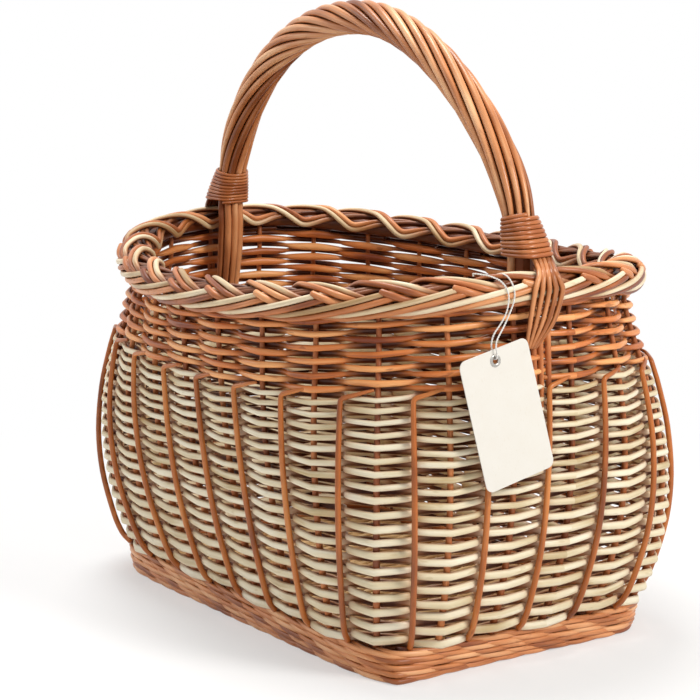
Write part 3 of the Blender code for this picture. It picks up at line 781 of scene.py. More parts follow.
def smooth_line(points, steps):
    """A smooth curve through the given points, with that many steps between two."""
    points = np.asarray(points, float)
    padded = np.concatenate([[2 * points[0] - points[1]], points, [2 * points[-1] - points[-2]]])
    line = []
    for before, start, end, after in zip(padded, padded[1:], padded[2:], padded[3:]):
        for share in np.linspace(0.0, 1.0, steps, endpoint=False):
            line.append(
                start
                + share * (end - before) / 2
                + share**2 * (before - 2.5 * start + 2 * end - after / 2)
                + share**3 * (1.5 * start - before / 2 - 1.5 * end + after / 2)
            )
    return np.array([*line, points[-1]])


def even_line(points, count):
    """count points at equal steps along a line of points."""
    travelled = lengths_along(points)
    wanted = np.linspace(0.0, travelled[-1], count)
    return np.stack([np.interp(wanted, travelled, points[:, axis]) for axis in range(3)], axis=1)


def round_rings(line, radii, around=10, rounded_ends=True):
    """Rings of points round a line, carried along it without twisting."""
    line = np.asarray(line, float)
    radii = np.broadcast_to(np.asarray(radii, float), (len(line),)).copy()
    if rounded_ends:
        ways = ways_along(line)
        first = line[0] - ways[0] * END_BULGE_SHARE * radii[0]
        last = line[-1] + ways[-1] * END_BULGE_SHARE * radii[-1]
        line = np.vstack([first, line, last])
        radii = np.concatenate([radii[:1] * END_RADIUS_SHARE, radii, radii[-1:] * END_RADIUS_SHARE])
    rings = []
    for spot, radius, sides in zip(line, radii, sides_along(line)):
        rings.append(spot + radius * spun(*sides, around))
    return rings


def wander(count, size, waves=6, closed=True):
    """A gentle random drift round a ring or along a rod."""
    share = np.arange(count) / count
    drift = np.zeros(count)
    for wave in range(1, waves + 1):
        turns = wave if closed else wave * 0.7
        drift += chance.normal() * np.sin(TURN * (turns * share + chance.uniform())) / math.sqrt(waves)
    return drift * size


def groove_shade(facing, at_side, loss):
    """Shade on a rod whose open face has facing 1, its sides 0 and its back -1."""
    return np.maximum(at_side - loss * facing, 0)


def shaded_rod(bundle, line, radii, radius, around, open_ways, depth, shade):
    """Add a rod with painted shade in its grooves: open_ways point out of the work, and depth is painted
    shade for how far it sinks.
    """
    rings = np.array(round_rings(line, radii, around))
    facing = ((rings[1:-1] - line[:, None]) * open_ways[:, None]).sum(axis=2) / radius
    painted_shade = depth[:, None] + groove_shade(facing, *shade)
    bundle.sweep(rings, painted_shade=np.vstack([painted_shade[:1], painted_shade, painted_shade[-1:]]))


# Plan of the body, as in the part


def outline(length, width, squareness, places):
    """Points and outward directions round a superellipse, at numbers of stakes past the first."""
    angles = np.linspace(0.0, TURN, OUTLINE_STEPS + 1)
    a = length / 2
    b = width / 2
    sums = np.abs(np.cos(angles) / a) ** squareness + np.abs(np.sin(angles) / b) ** squareness
    reach = sums ** (-1 / squareness)
    dense = np.stack([reach * np.cos(angles), reach * np.sin(angles)], axis=1)
    travelled = lengths_along(dense)
    wanted = (np.asarray(places) + STAKE_SHIFT_SHARE) / STAKES * travelled[-1] % travelled[-1]
    points = np.stack([np.interp(wanted, travelled, dense[:, axis]) for axis in (0, 1)], axis=1)
    return points, outward(points, length, width, squareness)


def straightened(places, points):
    """Points drawn in towards the straight lines from stake to stake."""
    corner = np.floor(places)
    share = (places - corner)[:, None]
    at_stakes = points[np.searchsorted(places, corner)]
    following = np.searchsorted(places, corner + 1) % len(places)
    chords = at_stakes * (1 - share) + points[following] * share
    return points * (1 - STRAIGHTNESS_SHARE) + chords * STRAIGHTNESS_SHARE


def outward(points, length, width, squareness):
    """Unit directions square to a superellipse at its points."""
    halves = np.array([length / 2, width / 2])
    slopes = np.sign(points) * np.abs(points / halves) ** (squareness - 1) / halves
    return slopes / np.linalg.norm(slopes, axis=-1, keepdims=True)


def level(directions):
    """Directions in plan as directions in space."""
    return np.column_stack([directions, np.zeros(len(directions))])


def span_share(place_share, squareness):
    """How far a superellipse spans, at a share of its half width across that way."""
    return (1 - abs(place_share) ** squareness) ** (1 / squareness)


def plan_at(climb):
    """Length, width and squareness of the weave's middle, from foot (0) to rim (1)."""
    swell = math.sin(math.pi * min(max(climb, 0.0), 1.0) ** BELLY_EASE)
    length = FOOT_LENGTH + (RIM_LENGTH - FOOT_LENGTH) * climb + 2 * BELLY_SWELL_LENGTH * swell
    width = FOOT_WIDTH + (RIM_WIDTH - FOOT_WIDTH) * climb + 2 * BELLY_SWELL_WIDTH * swell
    sharpness = (FOOT_SQUARENESS - RIM_SQUARENESS) * max(1 - climb, 0.0) ** SQUARENESS_EASE
    return length, width, RIM_SQUARENESS + sharpness


def height_at(climb, x, length):
    """Height of the weave: its rows rise towards the ends of the basket."""
    end_share = (2 * x / length) ** 2
    return FOOT_HEIGHT + SEAT_GAP + WALL_HEIGHT * climb + RIM_RISE * end_share * climb**2


def wall_line(climb, places):
    """Points and outward directions of the wall's middle at one climb."""
    length, width, squareness = plan_at(climb)
    flat, normals = outline(length, width, squareness, places)
    heights = height_at(climb, flat[:, 0], length)
    return np.column_stack([flat, heights]), level(normals)


def wall_point(climb, place, offset):
    """A point of the wall at one climb, at a number of stakes round it."""
    points, normals = wall_line(climb, [place])
    return points[0] + normals[0] * offset


def end_point(side, lateral, climb, offset):
    """A point on the +X (side 1) or -X (side -1) end of the wall, at y = lateral."""
    length, width, squareness = plan_at(climb)
    x = side * length / 2 * span_share(2 * lateral / width, squareness)
    flat = np.array([[x, lateral]])
    moved = (flat + outward(flat, length, width, squareness) * offset)[0]
    return np.array([*moved, height_at(climb, x, length)])


def rim_middle(side, lateral):
    """Middle of the plait at an end of the basket."""
    x = side * RIM_LENGTH / 2 * span_share(2 * lateral / RIM_WIDTH, RIM_SQUARENESS)
    return np.array([x, lateral, RIM_HEIGHT + RIM_RISE * (2 * x / RIM_LENGTH) ** 2])


# Woven bands


def weave_row(bundle, climb, start, section, reach, stray, sag, crossing, thinner, fuller):
    """One row round the body: in front of every other stake, behind the rest."""
    places = (np.arange(STAKES)[:, None] + np.array(STEP_SHARES)).ravel()
    count = len(places)
    points, normals = wall_line(climb, places)
    points = straightened(places, points)
    sway = np.cos(math.pi * (places + start))
    wave = np.sign(sway) * np.abs(sway) ** crossing
    offsets = wave * reach + wander(count, stray * 0.5, SLOW_WAVES)
    bend = 1 - 2 * np.abs((places + start + 1) % 2 - 1)
    rise = wander(count, stray, SLOW_WAVES) + wander(count, stray * 0.6, QUICK_WAVES) - sag * bend
    full = 1 - thinner * (1 - np.abs(wave)) + fuller * np.maximum(-wave, 0)
    full += wander(count, UNEVENNESS_SHARE, UNEVEN_WAVES)
    grid = []
    for point, normal, offset, lift, size in zip(points, normals, offsets, rise, full):
        middle = point + normal * offset + (0.0, 0.0, lift)
        grid.append([middle + normal * out + np.array((0.0, 0.0, up * size)) for out, up in section])
    outs = np.array([out for out, _ in section])
    # Painted shade: darkest on the face of the row turned towards the stakes, half shade where it crosses
    # between them
    in_front = np.sign(sway) * np.abs(sway) ** FACING_EASE
    facing = in_front[:, None] * np.clip(outs / outs.max() * FACING_REACH, -1, 1)
    bundle.sweep(grid, closed=True, painted_shade=groove_shade(facing, *WEAVE_SHADE))


def split_section(height, thickness):
    """Split willow: flat pith side inwards, crowned bark side outwards."""
    return [(out * thickness, up * height / 2) for out, up in SPLIT_SECTION_SHARES]


def round_section(diameter, around=8):
    angles = TURN * (np.arange(around) + 0.5) / around
    return [(diameter / 2 * math.cos(angle), diameter / 2 * math.sin(angle)) for angle in angles]


def make_lower_weave(finish):
    rows = Bundle()
    pitches = np.linspace(LOWER_PITCH_LOW, LOWER_PITCH_HIGH, LOWER_ROWS)
    pitches *= (BAND_HEIGHT - FOOT_HEIGHT - 2 * SEAT_GAP) / pitches.sum()
    low = 0.0
    for row, pitch in enumerate(pitches):
        climb = (low + pitch / 2) / WALL_HEIGHT
        section = split_section(pitch * LOWER_FILL_SHARE, SPLIT_THICKNESS)
        weave_row(rows, climb, row % 2, section, **LOWER_COURSE)
        low += pitch
    rows.build("lower_weave", finish, "basket", "pale_willow", "lower_wall")


def make_upper_weave(finish):
    """Rows of the brown band, and one more that closes it under the plait."""
    rows = Bundle()
    pitch = WALL_HEIGHT * (1 - BAND_CLIMB) / UPPER_ROWS
    for row in range(UPPER_ROWS + 1):
        climb = BAND_CLIMB + pitch * (row + 0.5) / WALL_HEIGHT
        section = round_section(pitch * UPPER_FILL_SHARE)
        weave_row(rows, climb, row % 2, section, **UPPER_COURSE)
    rows.build("upper_weave", finish, "basket", "brown_willow", "upper_wall")


def make_stakes(finish):
    """Stakes up through both bands, and three short ones beside each foot of the handle."""
    stakes = Bundle()
    for number in range(STAKES):
        climbs = np.linspace(*STAKE_CLIMBS, STAKE_POINTS)
        line = smooth_line([wall_point(climb, number, 0.0) for climb in climbs], 2)
        radii = STAKE_DIAMETER / 2 * np.linspace(1.0, STAKE_TIP_SHARE, len(line))
        stakes.sweep(round_rings(line, radii, 8))
    for side in (1, -1):
        for place in SHORT_STAKE_PLACES:
            stray = chance.uniform(-SHORT_STAKE_STRAY, SHORT_STAKE_STRAY)
            climbs = np.linspace(*SHORT_STAKE_CLIMBS, 8) + stray
            y = HANDLE_OFFSET + side * place
            line = [end_point(side, y, climb, SHORT_STAKE_STAND_OFF) for climb in climbs]
            radii = STAKE_DIAMETER / 2 * np.linspace(*SHORT_STAKE_SHARES, len(line))
            stakes.sweep(round_rings(line, radii, 8))
    stakes.build("stakes", finish, "basket", "rib_willow", "upper_wall", "lower_wall")


def make_ribs(finish):
    """Outer ribs over the pale band."""
    ribs = Bundle()
    for number in range(STAKES):
        line = []
        stray = chance.normal() * RIB_STRAY
        for climb, lean, out, _ in RIB_SHARES:
            place = number + 0.5 + lean + stray * climb
            line.append(wall_point(BAND_CLIMB * climb, place, RIB_STAND_OFF * out))
        smooth = smooth_line(line, 4)
        radii = [RIB_DIAMETER / 2 * thickness for *_, thickness in RIB_SHARES]
        spots = np.linspace(0, len(radii) - 1, len(smooth))
        ribs.sweep(round_rings(smooth, np.interp(spots, np.arange(len(radii)), radii), 10))
    names = [f"rib_{number + 1:02d}" for number in range(STAKES)]
    ribs.build("ribs", finish, "basket", "rib_willow", *names)


# Foot and base


def foot_edge(places, low_share):
    """Points and outward directions round the foot, and how far each is drawn out to a corner."""
    flat, normals = outline(FOOT_LENGTH, FOOT_WIDTH, FOOT_SQUARENESS, places)
    drawn = np.zeros(len(flat))
    for side in (1, -1):
        corner = side * np.array(FOOT_CORNER)
        near = np.exp(-np.linalg.norm(flat - corner, axis=1) / FOOT_CORNER_REACH)
        flat += near[:, None] * side * np.array(FOOT_CORNER_PULL) * (0.5 + 0.5 * low_share)
        drawn += near
    return flat, normals, drawn


def make_foot(finish):
    """Rows of waling, each stroke over three stakes and in again, and a lining behind them."""
    rods = Bundle()
    places = np.arange(FOOT_STAKES * STROKE_STEPS) / STROKE_STEPS / 2
    steps = np.arange(round(STROKE_STAKES * STROKE_STEPS) + 1)
    shares = steps / steps[-1]
    bow = np.sin(math.pi * shares) ** STROKE_BOW_EASE
    # Painted shade towards both ends of each stroke, where it sinks in between the stakes
    hidden = STROKE_END_SHADE * (1 - np.sin(math.pi * shares) ** STROKE_SHADE_EASE)
    pitch = FOOT_HEIGHT / FOOT_ROWS
    for row in range(FOOT_ROWS):
        low_share = 1 - (row + 0.5) / FOOT_ROWS
        flat, normals, drawn = foot_edge(places, low_share)
        for stake in range(FOOT_STAKES):
            index = (stake * STROKE_STEPS + row * STROKE_SHIFT_STEPS + steps) % len(places)
            radius = STROKE_RADIUS * chance.uniform(*STROKE_RADIUS_SHARES)
            out = STROKE_BOW * bow - STROKE_SINK - FOOT_TUCK * low_share**1.5 * (1 - drawn[index])
            heights = pitch * (row + 0.5) + STROKE_FALL * (0.5 - shares) + chance.normal() * STROKE_STRAY
            heights = np.maximum(heights, radius * FLOOR_CLEAR_SHARE)
            line = np.column_stack([flat[index] + normals[index] * out[:, None], heights])
            radii = radius * (STROKE_END_SHARE + (1 - STROKE_END_SHARE) * bow)
            shaded_rod(rods, line, radii, radius, 8, level(normals[index]), hidden, WALING_SHADE)
    line_foot(rods, places)
    rods.build("foot_waling", finish, "basket", "stout_willow", "foot_border")


def line_foot(rods, places):
    """Closed rods behind the waling."""
    flat, normals = outline(FOOT_LENGTH, FOOT_WIDTH, FOOT_SQUARENESS, places)
    ways = level(normals)
    across = spun(ways[:, None], np.array((0.0, 0.0, 1.0)), 8)
    for height in LINING_HEIGHTS:
        waves = LINING_WAVE * np.sin(math.pi * (places * 2 + height / LINING_TURN_HEIGHT))
        line = np.column_stack([flat, np.full(len(flat), height)]) - ways * (LINING_INSET - waves)[:, None]
        # Painted shade: the lining rods are kept in even half shade
        rods.sweep(line[:, None] + LINING_RADIUS * across, closed=True, painted_shade=LINING_SHADE)


def make_base(finish):
    """Base weave: thin rods across, over and under the lengthwise rods."""
    rods = Bundle()
    half_length = FOOT_LENGTH / 2 - BASE_INSET
    half_width = FOOT_WIDTH / 2 - BASE_INSET
    long_shares = np.linspace(-LONG_ROD_SHARE, LONG_ROD_SHARE, LONG_RODS)
    for share in long_shares:
        reach = half_length * span_share(share, FOOT_SQUARENESS)
        line = [(x, share * half_width, BASE_MIDDLE) for x in np.linspace(-reach, reach, 12)]
        rods.sweep(round_rings(line, LONG_ROD_RADIUS, 8))
    for number in range(CROSS_RODS):
        x = ((number + 0.5) / CROSS_RODS * 2 - 1) * half_length
        reach = half_width * span_share(x / half_length, FOOT_SQUARENESS)
        y = np.linspace(-1, 1, CROSS_ROD_POINTS) * reach
        crossed = (y / half_width + LONG_ROD_SHARE) / (long_shares[1] - long_shares[0])
        wave = np.cos(math.pi * crossed + math.pi * number)
        line = np.column_stack([np.full(len(y), x), y, BASE_MIDDLE + CROSS_ROD_BOW * wave])
        rods.sweep(round_rings(line, CROSS_ROD_RADIUS, 8))
    rods.build("base_rods", finish, "basket", "base_willow", "base_weave")


# Plait


def rim_line(places):
    """Points, outward directions and heights round the rim at numbers of stakes."""
    point, way = outline(RIM_LENGTH, RIM_WIDTH, RIM_SQUARENESS, places)
    return point, way, RIM_HEIGHT + RIM_RISE * (2 * point[:, 0] / RIM_LENGTH) ** 2


def on_plait(place, angle, depth):
    """Points in the plait: place in stakes, angle outwards from its top, depth under its face."""
    flat, way, height = rim_line(place)
    full = np.clip(np.abs(flat[:, 1]) / PLAIT_SLIM_REACH - 1, 0, 1)
    radius = PLAIT_RADIUS * (1 + PLAIT_SWELL_SHARE * full**2 * (3 - 2 * full)) - depth
    radius -= PRESS_DEPTH * np.exp(-(((flat[:, 1] - PRESS_PLACE) / PRESS_REACH) ** 2)) * (flat[:, 0] > 0)
    moved = flat + way * (radius * np.sin(angle))[:, None]
    return np.column_stack([moved, height + radius * PLAIT_FLATNESS * np.cos(angle)])


def plait_rod(start, route, shift):
    """A strand shifted sideways in the plait's face, the plait's heart beside it, and its depth."""
    keys = [(place, math.radians(angle), depth * PLAIT_DEPTH) for place, angle, depth in route]
    place, angle, depth = smooth_line(keys, 5).T
    pitch = TURN * (RIM_LENGTH + RIM_WIDTH) / 4 / STAKES
    ahead = np.gradient(place) * pitch
    aside = np.gradient(angle) * PLAIT_RADIUS
    size = np.hypot(ahead, aside)
    place = start + place - shift * aside / size / pitch
    angle = angle + shift * ahead / size / PLAIT_RADIUS
    heart = on_plait(place, angle, np.full(len(place), PLAIT_RADIUS))
    return on_plait(place, angle, depth), heart, depth / PLAIT_DEPTH


def make_plait(pale, brown):
    """Pairs of rods, a pale one above a brown one, and the cut end of a stake at each crest."""
    pales, browns, stubs, filling = (Bundle() for _ in range(4))
    for unit in range(STAKES):
        start = unit + PLAIT_START + chance.normal() * PLAIT_STRAY
        for rods, shift in ((pales, -PAIR_SHIFT), (browns, PAIR_SHIFT)):
            line, heart, sunk = plait_rod(start, PLAIT_ROUTE, shift + chance.normal() * STRAND_STRAY)
            radii = PLAIT_ROD_RADIUS * chance.uniform(*PLAIT_ROD_SHARES)
            radii = radii * (1 + wander(len(line), PLAIT_UNEVENNESS_SHARE, 5, closed=False))
            # Painted shade in each strand's grooves and where it sinks under the others
            away = (line - heart) / np.linalg.norm(line - heart, axis=1, keepdims=True)
            shaded_rod(rods, line, radii, PLAIT_ROD_RADIUS, 10, away, sunk * PLAIT_SUNK_SHADE, PLAIT_SHADE)
        line, _, _ = plait_rod(start, STUB_ROUTE, STUB_SHIFT)
        stubs.sweep(round_rings(line, STUB_RADIUS, 12))
    places = np.linspace(0, STAKES, FILLING_STEPS, endpoint=False)
    turns = [np.full(FILLING_STEPS, turn) for turn in TURN * np.arange(12) / 12]
    rings = np.stack([on_plait(places, turn, PLAIT_RADIUS / 2) for turn in turns], axis=1)
    # Painted shade: the filling inside the plait is kept almost fully shaded
    filling.sweep(rings, closed=True, painted_shade=FILLING_SHADE)
    for rods, name, finish in (
        (pales, "plait_pale_rods", pale),
        (browns, "plait_brown_rods", brown),
        (stubs, "plait_stubs", brown),
        (filling, "plait_filling", brown),
    ):
        rods.build(name, finish, "basket", "plait_willow", "rim_braid")


# Handle, as in the part but finer


def braid_clearance(thickness_share=1.0):
    return BRAID_WIDTH / 2 + ROD_RADIUS * thickness_share + ROD_GAP


def collar_foot(side):
    """Middle of the handle at the lower edge of a collar."""
    crest = rim_middle(side, HANDLE_OFFSET)[2] + braid_clearance()
    return np.array([side * (RIM_LENGTH / 2 - HANDLE_INSET), HANDLE_OFFSET, crest + COLLAR_LIFT])


def arch_line(count):
    """Middle line of the handle between its collars, from the +X foot to the -X foot."""
    lean = np.array([math.sin(HANDLE_LEAN), 0.0, math.cos(HANDLE_LEAN)])
    apex = np.array([0.0, HANDLE_OFFSET, HANDLE_TOP])
    along = np.array([1.0, 0.0, 0.0])
    halves = []
    for side, crown in ((1, HANDLE_CROWN_FRONT), (-1, HANDLE_CROWN_BACK)):
        rise = lean * (-side, 1, 1)
        start = collar_foot(side) + rise * COLLAR_HEIGHT
        shares = np.linspace(0.0, 1.0, ARCH_HALF_POINTS)[:, None]
        halves.append(
            (1 - shares) ** 3 * start
            + 3 * (1 - shares) ** 2 * shares * (start + rise * HANDLE_FOOT_PULL)
            + 3 * (1 - shares) * shares**2 * (apex + along * side * crown)
            + shares**3 * apex
        )
    return even_line(np.concatenate([halves[0], halves[1][::-1][1:]]), count)


def twist_angles(line):
    travelled = lengths_along(line)
    shares = travelled / travelled[-1]
    eased = shares - TWIST_CALM_SHARE * np.sin(TURN * shares) / TURN
    return eased * HANDLE_TURNS * TURN, travelled[-1]


def ring_radius(length):
    radius = ROD_RADIUS / math.sin(math.pi / HANDLE_RODS)
    for _ in range(4):
        slope = radius * HANDLE_TURNS * TURN * (1 + TWIST_CALM_SHARE) / length
        room = (ROD_RADIUS + ROD_GAP / 2) * math.hypot(1.0, slope)
        radius = room / math.sin(math.pi / HANDLE_RODS)
    return radius


def core_tail(side, core_radius):
    foot = collar_foot(side)
    middle = rim_middle(side, HANDLE_OFFSET)
    bend_x = min(abs(foot[0]), abs(middle[0]) - BRAID_WIDTH / 2 - core_radius - ROD_GAP)
    low_climb = 1 - CORE_TAIL_DROP / WALL_HEIGHT
    low = end_point(side, HANDLE_OFFSET, low_climb, -WALL_THICKNESS / 2 - core_radius - 3 * ROD_GAP)
    return [low, np.array([side * bend_x, HANDLE_OFFSET, foot[2] - CORE_BEND_DROP])]


def outer_tail(side, angle, radius):
    """A rod's thin end: down through the collar, over the plait and into the band."""
    foot = collar_foot(side)
    order = round(side * angle / (TURN / HANDLE_RODS))
    bow = FAN_BOW * (order / 2) ** 2
    x = abs(foot[0]) + radius + FAN_SPREAD - bow
    y = foot[1] + side * (order * FAN_START_PITCH + FAN_START_SHIFT)
    points = [np.array([side * x, y, foot[2]])]
    for bend, pitch, lean, taper in zip(FAN_ANGLES, FAN_PITCHES, FAN_LEAN_SHARES, FAN_TAPER_SHARES[1:]):
        reach = braid_clearance(taper) - FAN_PRESS
        place = rim_middle(side, foot[1] + side * (order * pitch - FAN_LEAN * lean))
        place += (side * reach * math.sin(bend), 0.0, reach * math.cos(bend))
        points.append(place)
    tip_climb = 1 - FAN_TIP_DROP / WALL_HEIGHT
    bridge_pitch = (FAN_PITCHES[-1] + FAN_TIP_PITCH) * FAN_BRIDGE_PITCH_SHARE
    over, tip = FAN_TAPER_SHARES[-2:]
    for climb, pitch, lean, taper, bridge in (
        ((2 + tip_climb) / 3, bridge_pitch, FAN_BRIDGE_LEAN_SHARE, over, FAN_BRIDGE),
        (tip_climb, FAN_TIP_PITCH, 1.0, tip, 0.0),
    ):
        stand_off = WALL_THICKNESS / 2 + WEAVE_RELIEF + ROD_RADIUS * taper + ROD_GAP + bridge
        y = foot[1] + side * (order * pitch - FAN_LEAN * lean)
        points.append(end_point(side, y, climb, stand_off))
    return points


def inner_tail(side, angle, radius, core_radius):
    """A rod's butt, which runs down beside the core inside the rim and along the wall."""
    foot = collar_foot(side)
    low, bend = core_tail(side, core_radius)
    shift = np.array([side * radius * math.cos(angle), radius * math.sin(angle), 0.0])
    end = bend + (0.0, 0.0, CORE_BEND_DROP - BUTT_DROP)
    eased = end * (1 - 2 * BUTT_EASE_SHARE) + (bend + low) * BUTT_EASE_SHARE + shift
    tip = end * (1 - BUTT_TIP_SHARE) + low * BUTT_TIP_SHARE + shift * BUTT_PINCH_SHARE
    return [foot + shift, bend + shift, eased, tip]


def rod_shares(total, tail_count):
    """Thickness along a handle rod: its taper in the fan, then full, then thinner at the butt."""
    shares = np.ones(total)
    spots = np.linspace(0, 1, tail_count), np.linspace(0, 1, len(FAN_TAPER_SHARES))
    shares[:tail_count] = np.interp(*spots, FAN_TAPER_SHARES[::-1])
    shares[tail_count : tail_count + 12] = np.linspace(shares[tail_count - 1], 1.0, 12)
    shares[-6:] *= np.linspace(1.0, BUTT_END_SHARE, 6)
    return shares * (1 + wander(total, ROD_UNEVENNESS_SHARE, 7, closed=False))


def make_handle(finish):
    """Ten rods, five from each side, roped round a core."""
    rods = Bundle()
    arch = arch_line(HANDLE_POINTS)
    twist, length = twist_angles(arch)
    radius = ring_radius(length)
    core_radius = radius - ROD_RADIUS - ROD_GAP
    travelled = np.linspace(0, length, len(arch))
    from_end = np.minimum(travelled, length - travelled) / COLLAR_SQUEEZE_REACH
    pulled = radius - COLLAR_SQUEEZE * np.exp(-(from_end**2))
    sideways = np.array([0.0, 1.0, 0.0])
    outwards = np.cross(sideways, ways_along(arch))
    half = HANDLE_RODS // 2
    for number in range(HANDLE_RODS):
        side = 1 if number < half else -1
        start = (number % half - (half - 1) / 2) * TURN / HANDLE_RODS
        angles = twist + start + (0.0 if side > 0 else math.pi)
        coil = arch + (pulled * np.cos(angles))[:, None] * outwards
        coil = (coil + (pulled * np.sin(angles))[:, None] * sideways)[::side]
        tail = outer_tail(side, start, radius - COLLAR_SQUEEZE)
        butt = inner_tail(-side, start + math.pi, radius - COLLAR_SQUEEZE, core_radius)
        tail_line = smooth_line([*tail[::-1], *coil[:2]], 7)[:-7]
        butt_line = smooth_line([*coil[-2:], *butt], 4)[5:]
        line = np.vstack([tail_line[:-1], coil, butt_line])
        before = len(tail_line)
        rings = np.array(round_rings(line, ROD_RADIUS * rod_shares(len(line), before), 12))
        # Painted shade on each rod's side towards the core, and on the inner, lower side of its fanned
        # tail
        painted_shade = np.zeros(rings.shape[:2])
        coiled = slice(before, before + len(arch))
        away = np.linalg.norm(rings[coiled] - arch[::side, None], axis=2) - pulled[::side, None]
        painted_shade[coiled] = groove_shade(away / ROD_RADIUS, *COIL_SHADE)
        out, up = FAN_OPEN_WAY
        fanned = rings[:before] - rings[:before].mean(axis=1, keepdims=True)
        painted_shade[:before] = groove_shade(fanned @ np.array((side * out, 0.0, up)) / ROD_RADIUS, *FAN_SHADE)
        rods.sweep(rings, painted_shade=painted_shade)
    names = [f"handle_rod_{number + 1:02d}" for number in range(HANDLE_RODS)]
    rods.build("handle_rods", finish, "basket", "handle_willow", *names)
    return radius


def collar_point(side, bore, angle, share, proud):
    """A point that far out of a collar's face, at an angle round it and a share of its height."""
    foot = collar_foot(side)
    spread = FAN_SPREAD / 2 * (1 - share)
    half_length = bore + spread + proud
    half_width = bore + COLLAR_OVAL * (1 - share) + proud
    squareness = 2 + (COLLAR_SQUARENESS - 2) * (1 - share)
    along, across = abs(math.cos(angle) / half_length), abs(math.sin(angle) / half_width)
    reach = (along**squareness + across**squareness) ** (-1 / squareness)
    out = spread + reach * math.cos(angle)
    tilt = HANDLE_LEAN * share
    rise = COLLAR_HEIGHT * share
    x = side * (abs(foot[0]) - rise * math.sin(HANDLE_LEAN) + out * math.cos(tilt))
    z = foot[2] + rise * math.cos(HANDLE_LEAN) + out * math.sin(tilt)
    return np.array((x, foot[1] + side * reach * math.sin(angle), z))


def make_collars(radius, finish):
    """Flat skein wound round each foot of the handle, turn on turn."""
    bore = radius - COLLAR_SQUEEZE + ROD_RADIUS
    count = round(COLLAR_WRAPS * COLLAR_STEPS)
    low, high = COLLAR_SHARES
    for name, side in (("collar_front", 1), ("collar_back", -1)):
        wraps = Bundle()
        slant = wander(count + 1, COLLAR_SLANT_SHARE, 12, closed=False)
        grid = []
        for step in range(count + 1):
            angle = TURN * step / COLLAR_STEPS + COLLAR_START
            middle = low + (high - low) * step / count + slant[step]
            shares = [(middle + share / COLLAR_WRAPS, proud) for share, proud, _ in SKEIN_SECTION]
            grid.append([collar_point(side, bore, angle, share, proud) for share, proud in shares])
        # Painted shade at the upper and lower edges of each turn and on its back
        wraps.sweep(grid, tone=0.5, painted_shade=np.array([shade for *_, shade in SKEIN_SECTION]))
        wraps.build(name + "_wraps", finish, "basket", "skein", name)


# Tag


def tag_placing():
    """Card's own axes (across, up, out of its face) set at the eyelet."""
    out = Vector((math.cos(TAG_LEAN), 0.0, math.sin(TAG_LEAN)))
    up = Vector((-math.sin(TAG_LEAN), -math.sin(TAG_TILT) * math.cos(TAG_LEAN), 0.0))
    up.z = math.cos(TAG_TILT) * math.cos(TAG_LEAN)
    up = (up - out * up.dot(out)).normalized()
    placing = Matrix((up.cross(out), up, out)).transposed().to_4x4()
    placing.translation = Vector(EYELET_PLACE)
    return placing


def lathe(name, profile, steps=48):
    """A ring turned about Z through a closed profile of (radius, height)."""
    points = []
    faces = []
    size = len(profile)
    for step in range(steps):
        angle = TURN * step / steps
        points += [(radius * math.cos(angle), radius * math.sin(angle), up) for radius, up in profile]
        here = step * size
        there = (step + 1) % steps * size
        for spot in range(size):
            after = (spot + 1) % size
            faces.append((here + spot, there + spot, there + after, here + after))
    mesh = bpy.data.meshes.new(name)
    mesh.from_pydata(points, [], faces)
    mesh.polygons.foreach_set("use_smooth", [True] * len(faces))
    return bpy.data.objects.new(name, mesh)


def make_card(finish):
    """Card with rounded corners, a soft cut edge and a hole for the eyelet."""
    right = TAG_WIDTH / 2 - TAG_CORNER
    top = TAG_HOLE_INSET - TAG_CORNER
    bottom = TAG_HOLE_INSET - TAG_HEIGHT + TAG_CORNER
    corners = []
    for quarter, (x, y) in enumerate(((right, top), (-right, top), (-right, bottom), (right, bottom))):
        for angle in np.linspace(quarter, quarter + 1, 9) * math.pi / 2:
            corners.append((x + TAG_CORNER * math.cos(angle), y + TAG_CORNER * math.sin(angle)))
    turns = [-TURN * step / TAG_HOLE_STEPS for step in range(TAG_HOLE_STEPS)]
    hole = [(TAG_HOLE_RADIUS * math.cos(turn), TAG_HOLE_RADIUS * math.sin(turn)) for turn in turns]
    board = bpy.data.curves.new("card", "CURVE")
    board.dimensions = "2D"
    board.fill_mode = "BOTH"
    board.extrude = TAG_THICKNESS / 2 - TAG_EDGE
    board.bevel_depth = TAG_EDGE
    board.bevel_resolution = 1
    board.offset = -TAG_EDGE
    for loop in (corners, hole):
        spline = board.splines.new("POLY")
        spline.points.add(len(loop) - 1)
        for point, place in zip(spline.points, loop):
            point.co = (*place, 0.0, 1.0)
        spline.use_cyclic_u = True
    board.materials.append(finish)
    card = bpy.data.objects.new("card", board)
    card.matrix_world = tag_placing()
    settle(card, "tag", "card", "tag_card")


def flange(angles, face):
    """Rounded flange of the eyelet, on the card's front (face 1) or back (face -1)."""
    points = []
    for angle in angles:
        radius = FLANGE_RADIUS + FLANGE_HALF_WIDTH * math.cos(angle)
        points.append((radius, face * (FLANGE_SEAT + FLANGE_RISE * math.sin(angle))))
    return points


def make_eyelet(finish):
    """Rolled eyelet with a rounded flange on both sides of the card."""
    bore = EYELET_BORE_RADIUS
    lip = EYELET_LIP_RADIUS
    front = flange(np.linspace(math.pi, 0, 9), 1)
    barrel = [(lip, LIP_SEAT), (bore, LIP_SEAT), (bore, -LIP_SEAT), (lip, -LIP_SEAT)]
    back = flange(np.linspace(0, math.pi, 7), -1)
    eyelet = lathe("eyelet", front + barrel + back)
    eyelet.data.materials.append(finish)
    eyelet.matrix_world = tag_placing()
    return settle(eyelet, "tag", "eyelet_steel", "tag_eyelet")


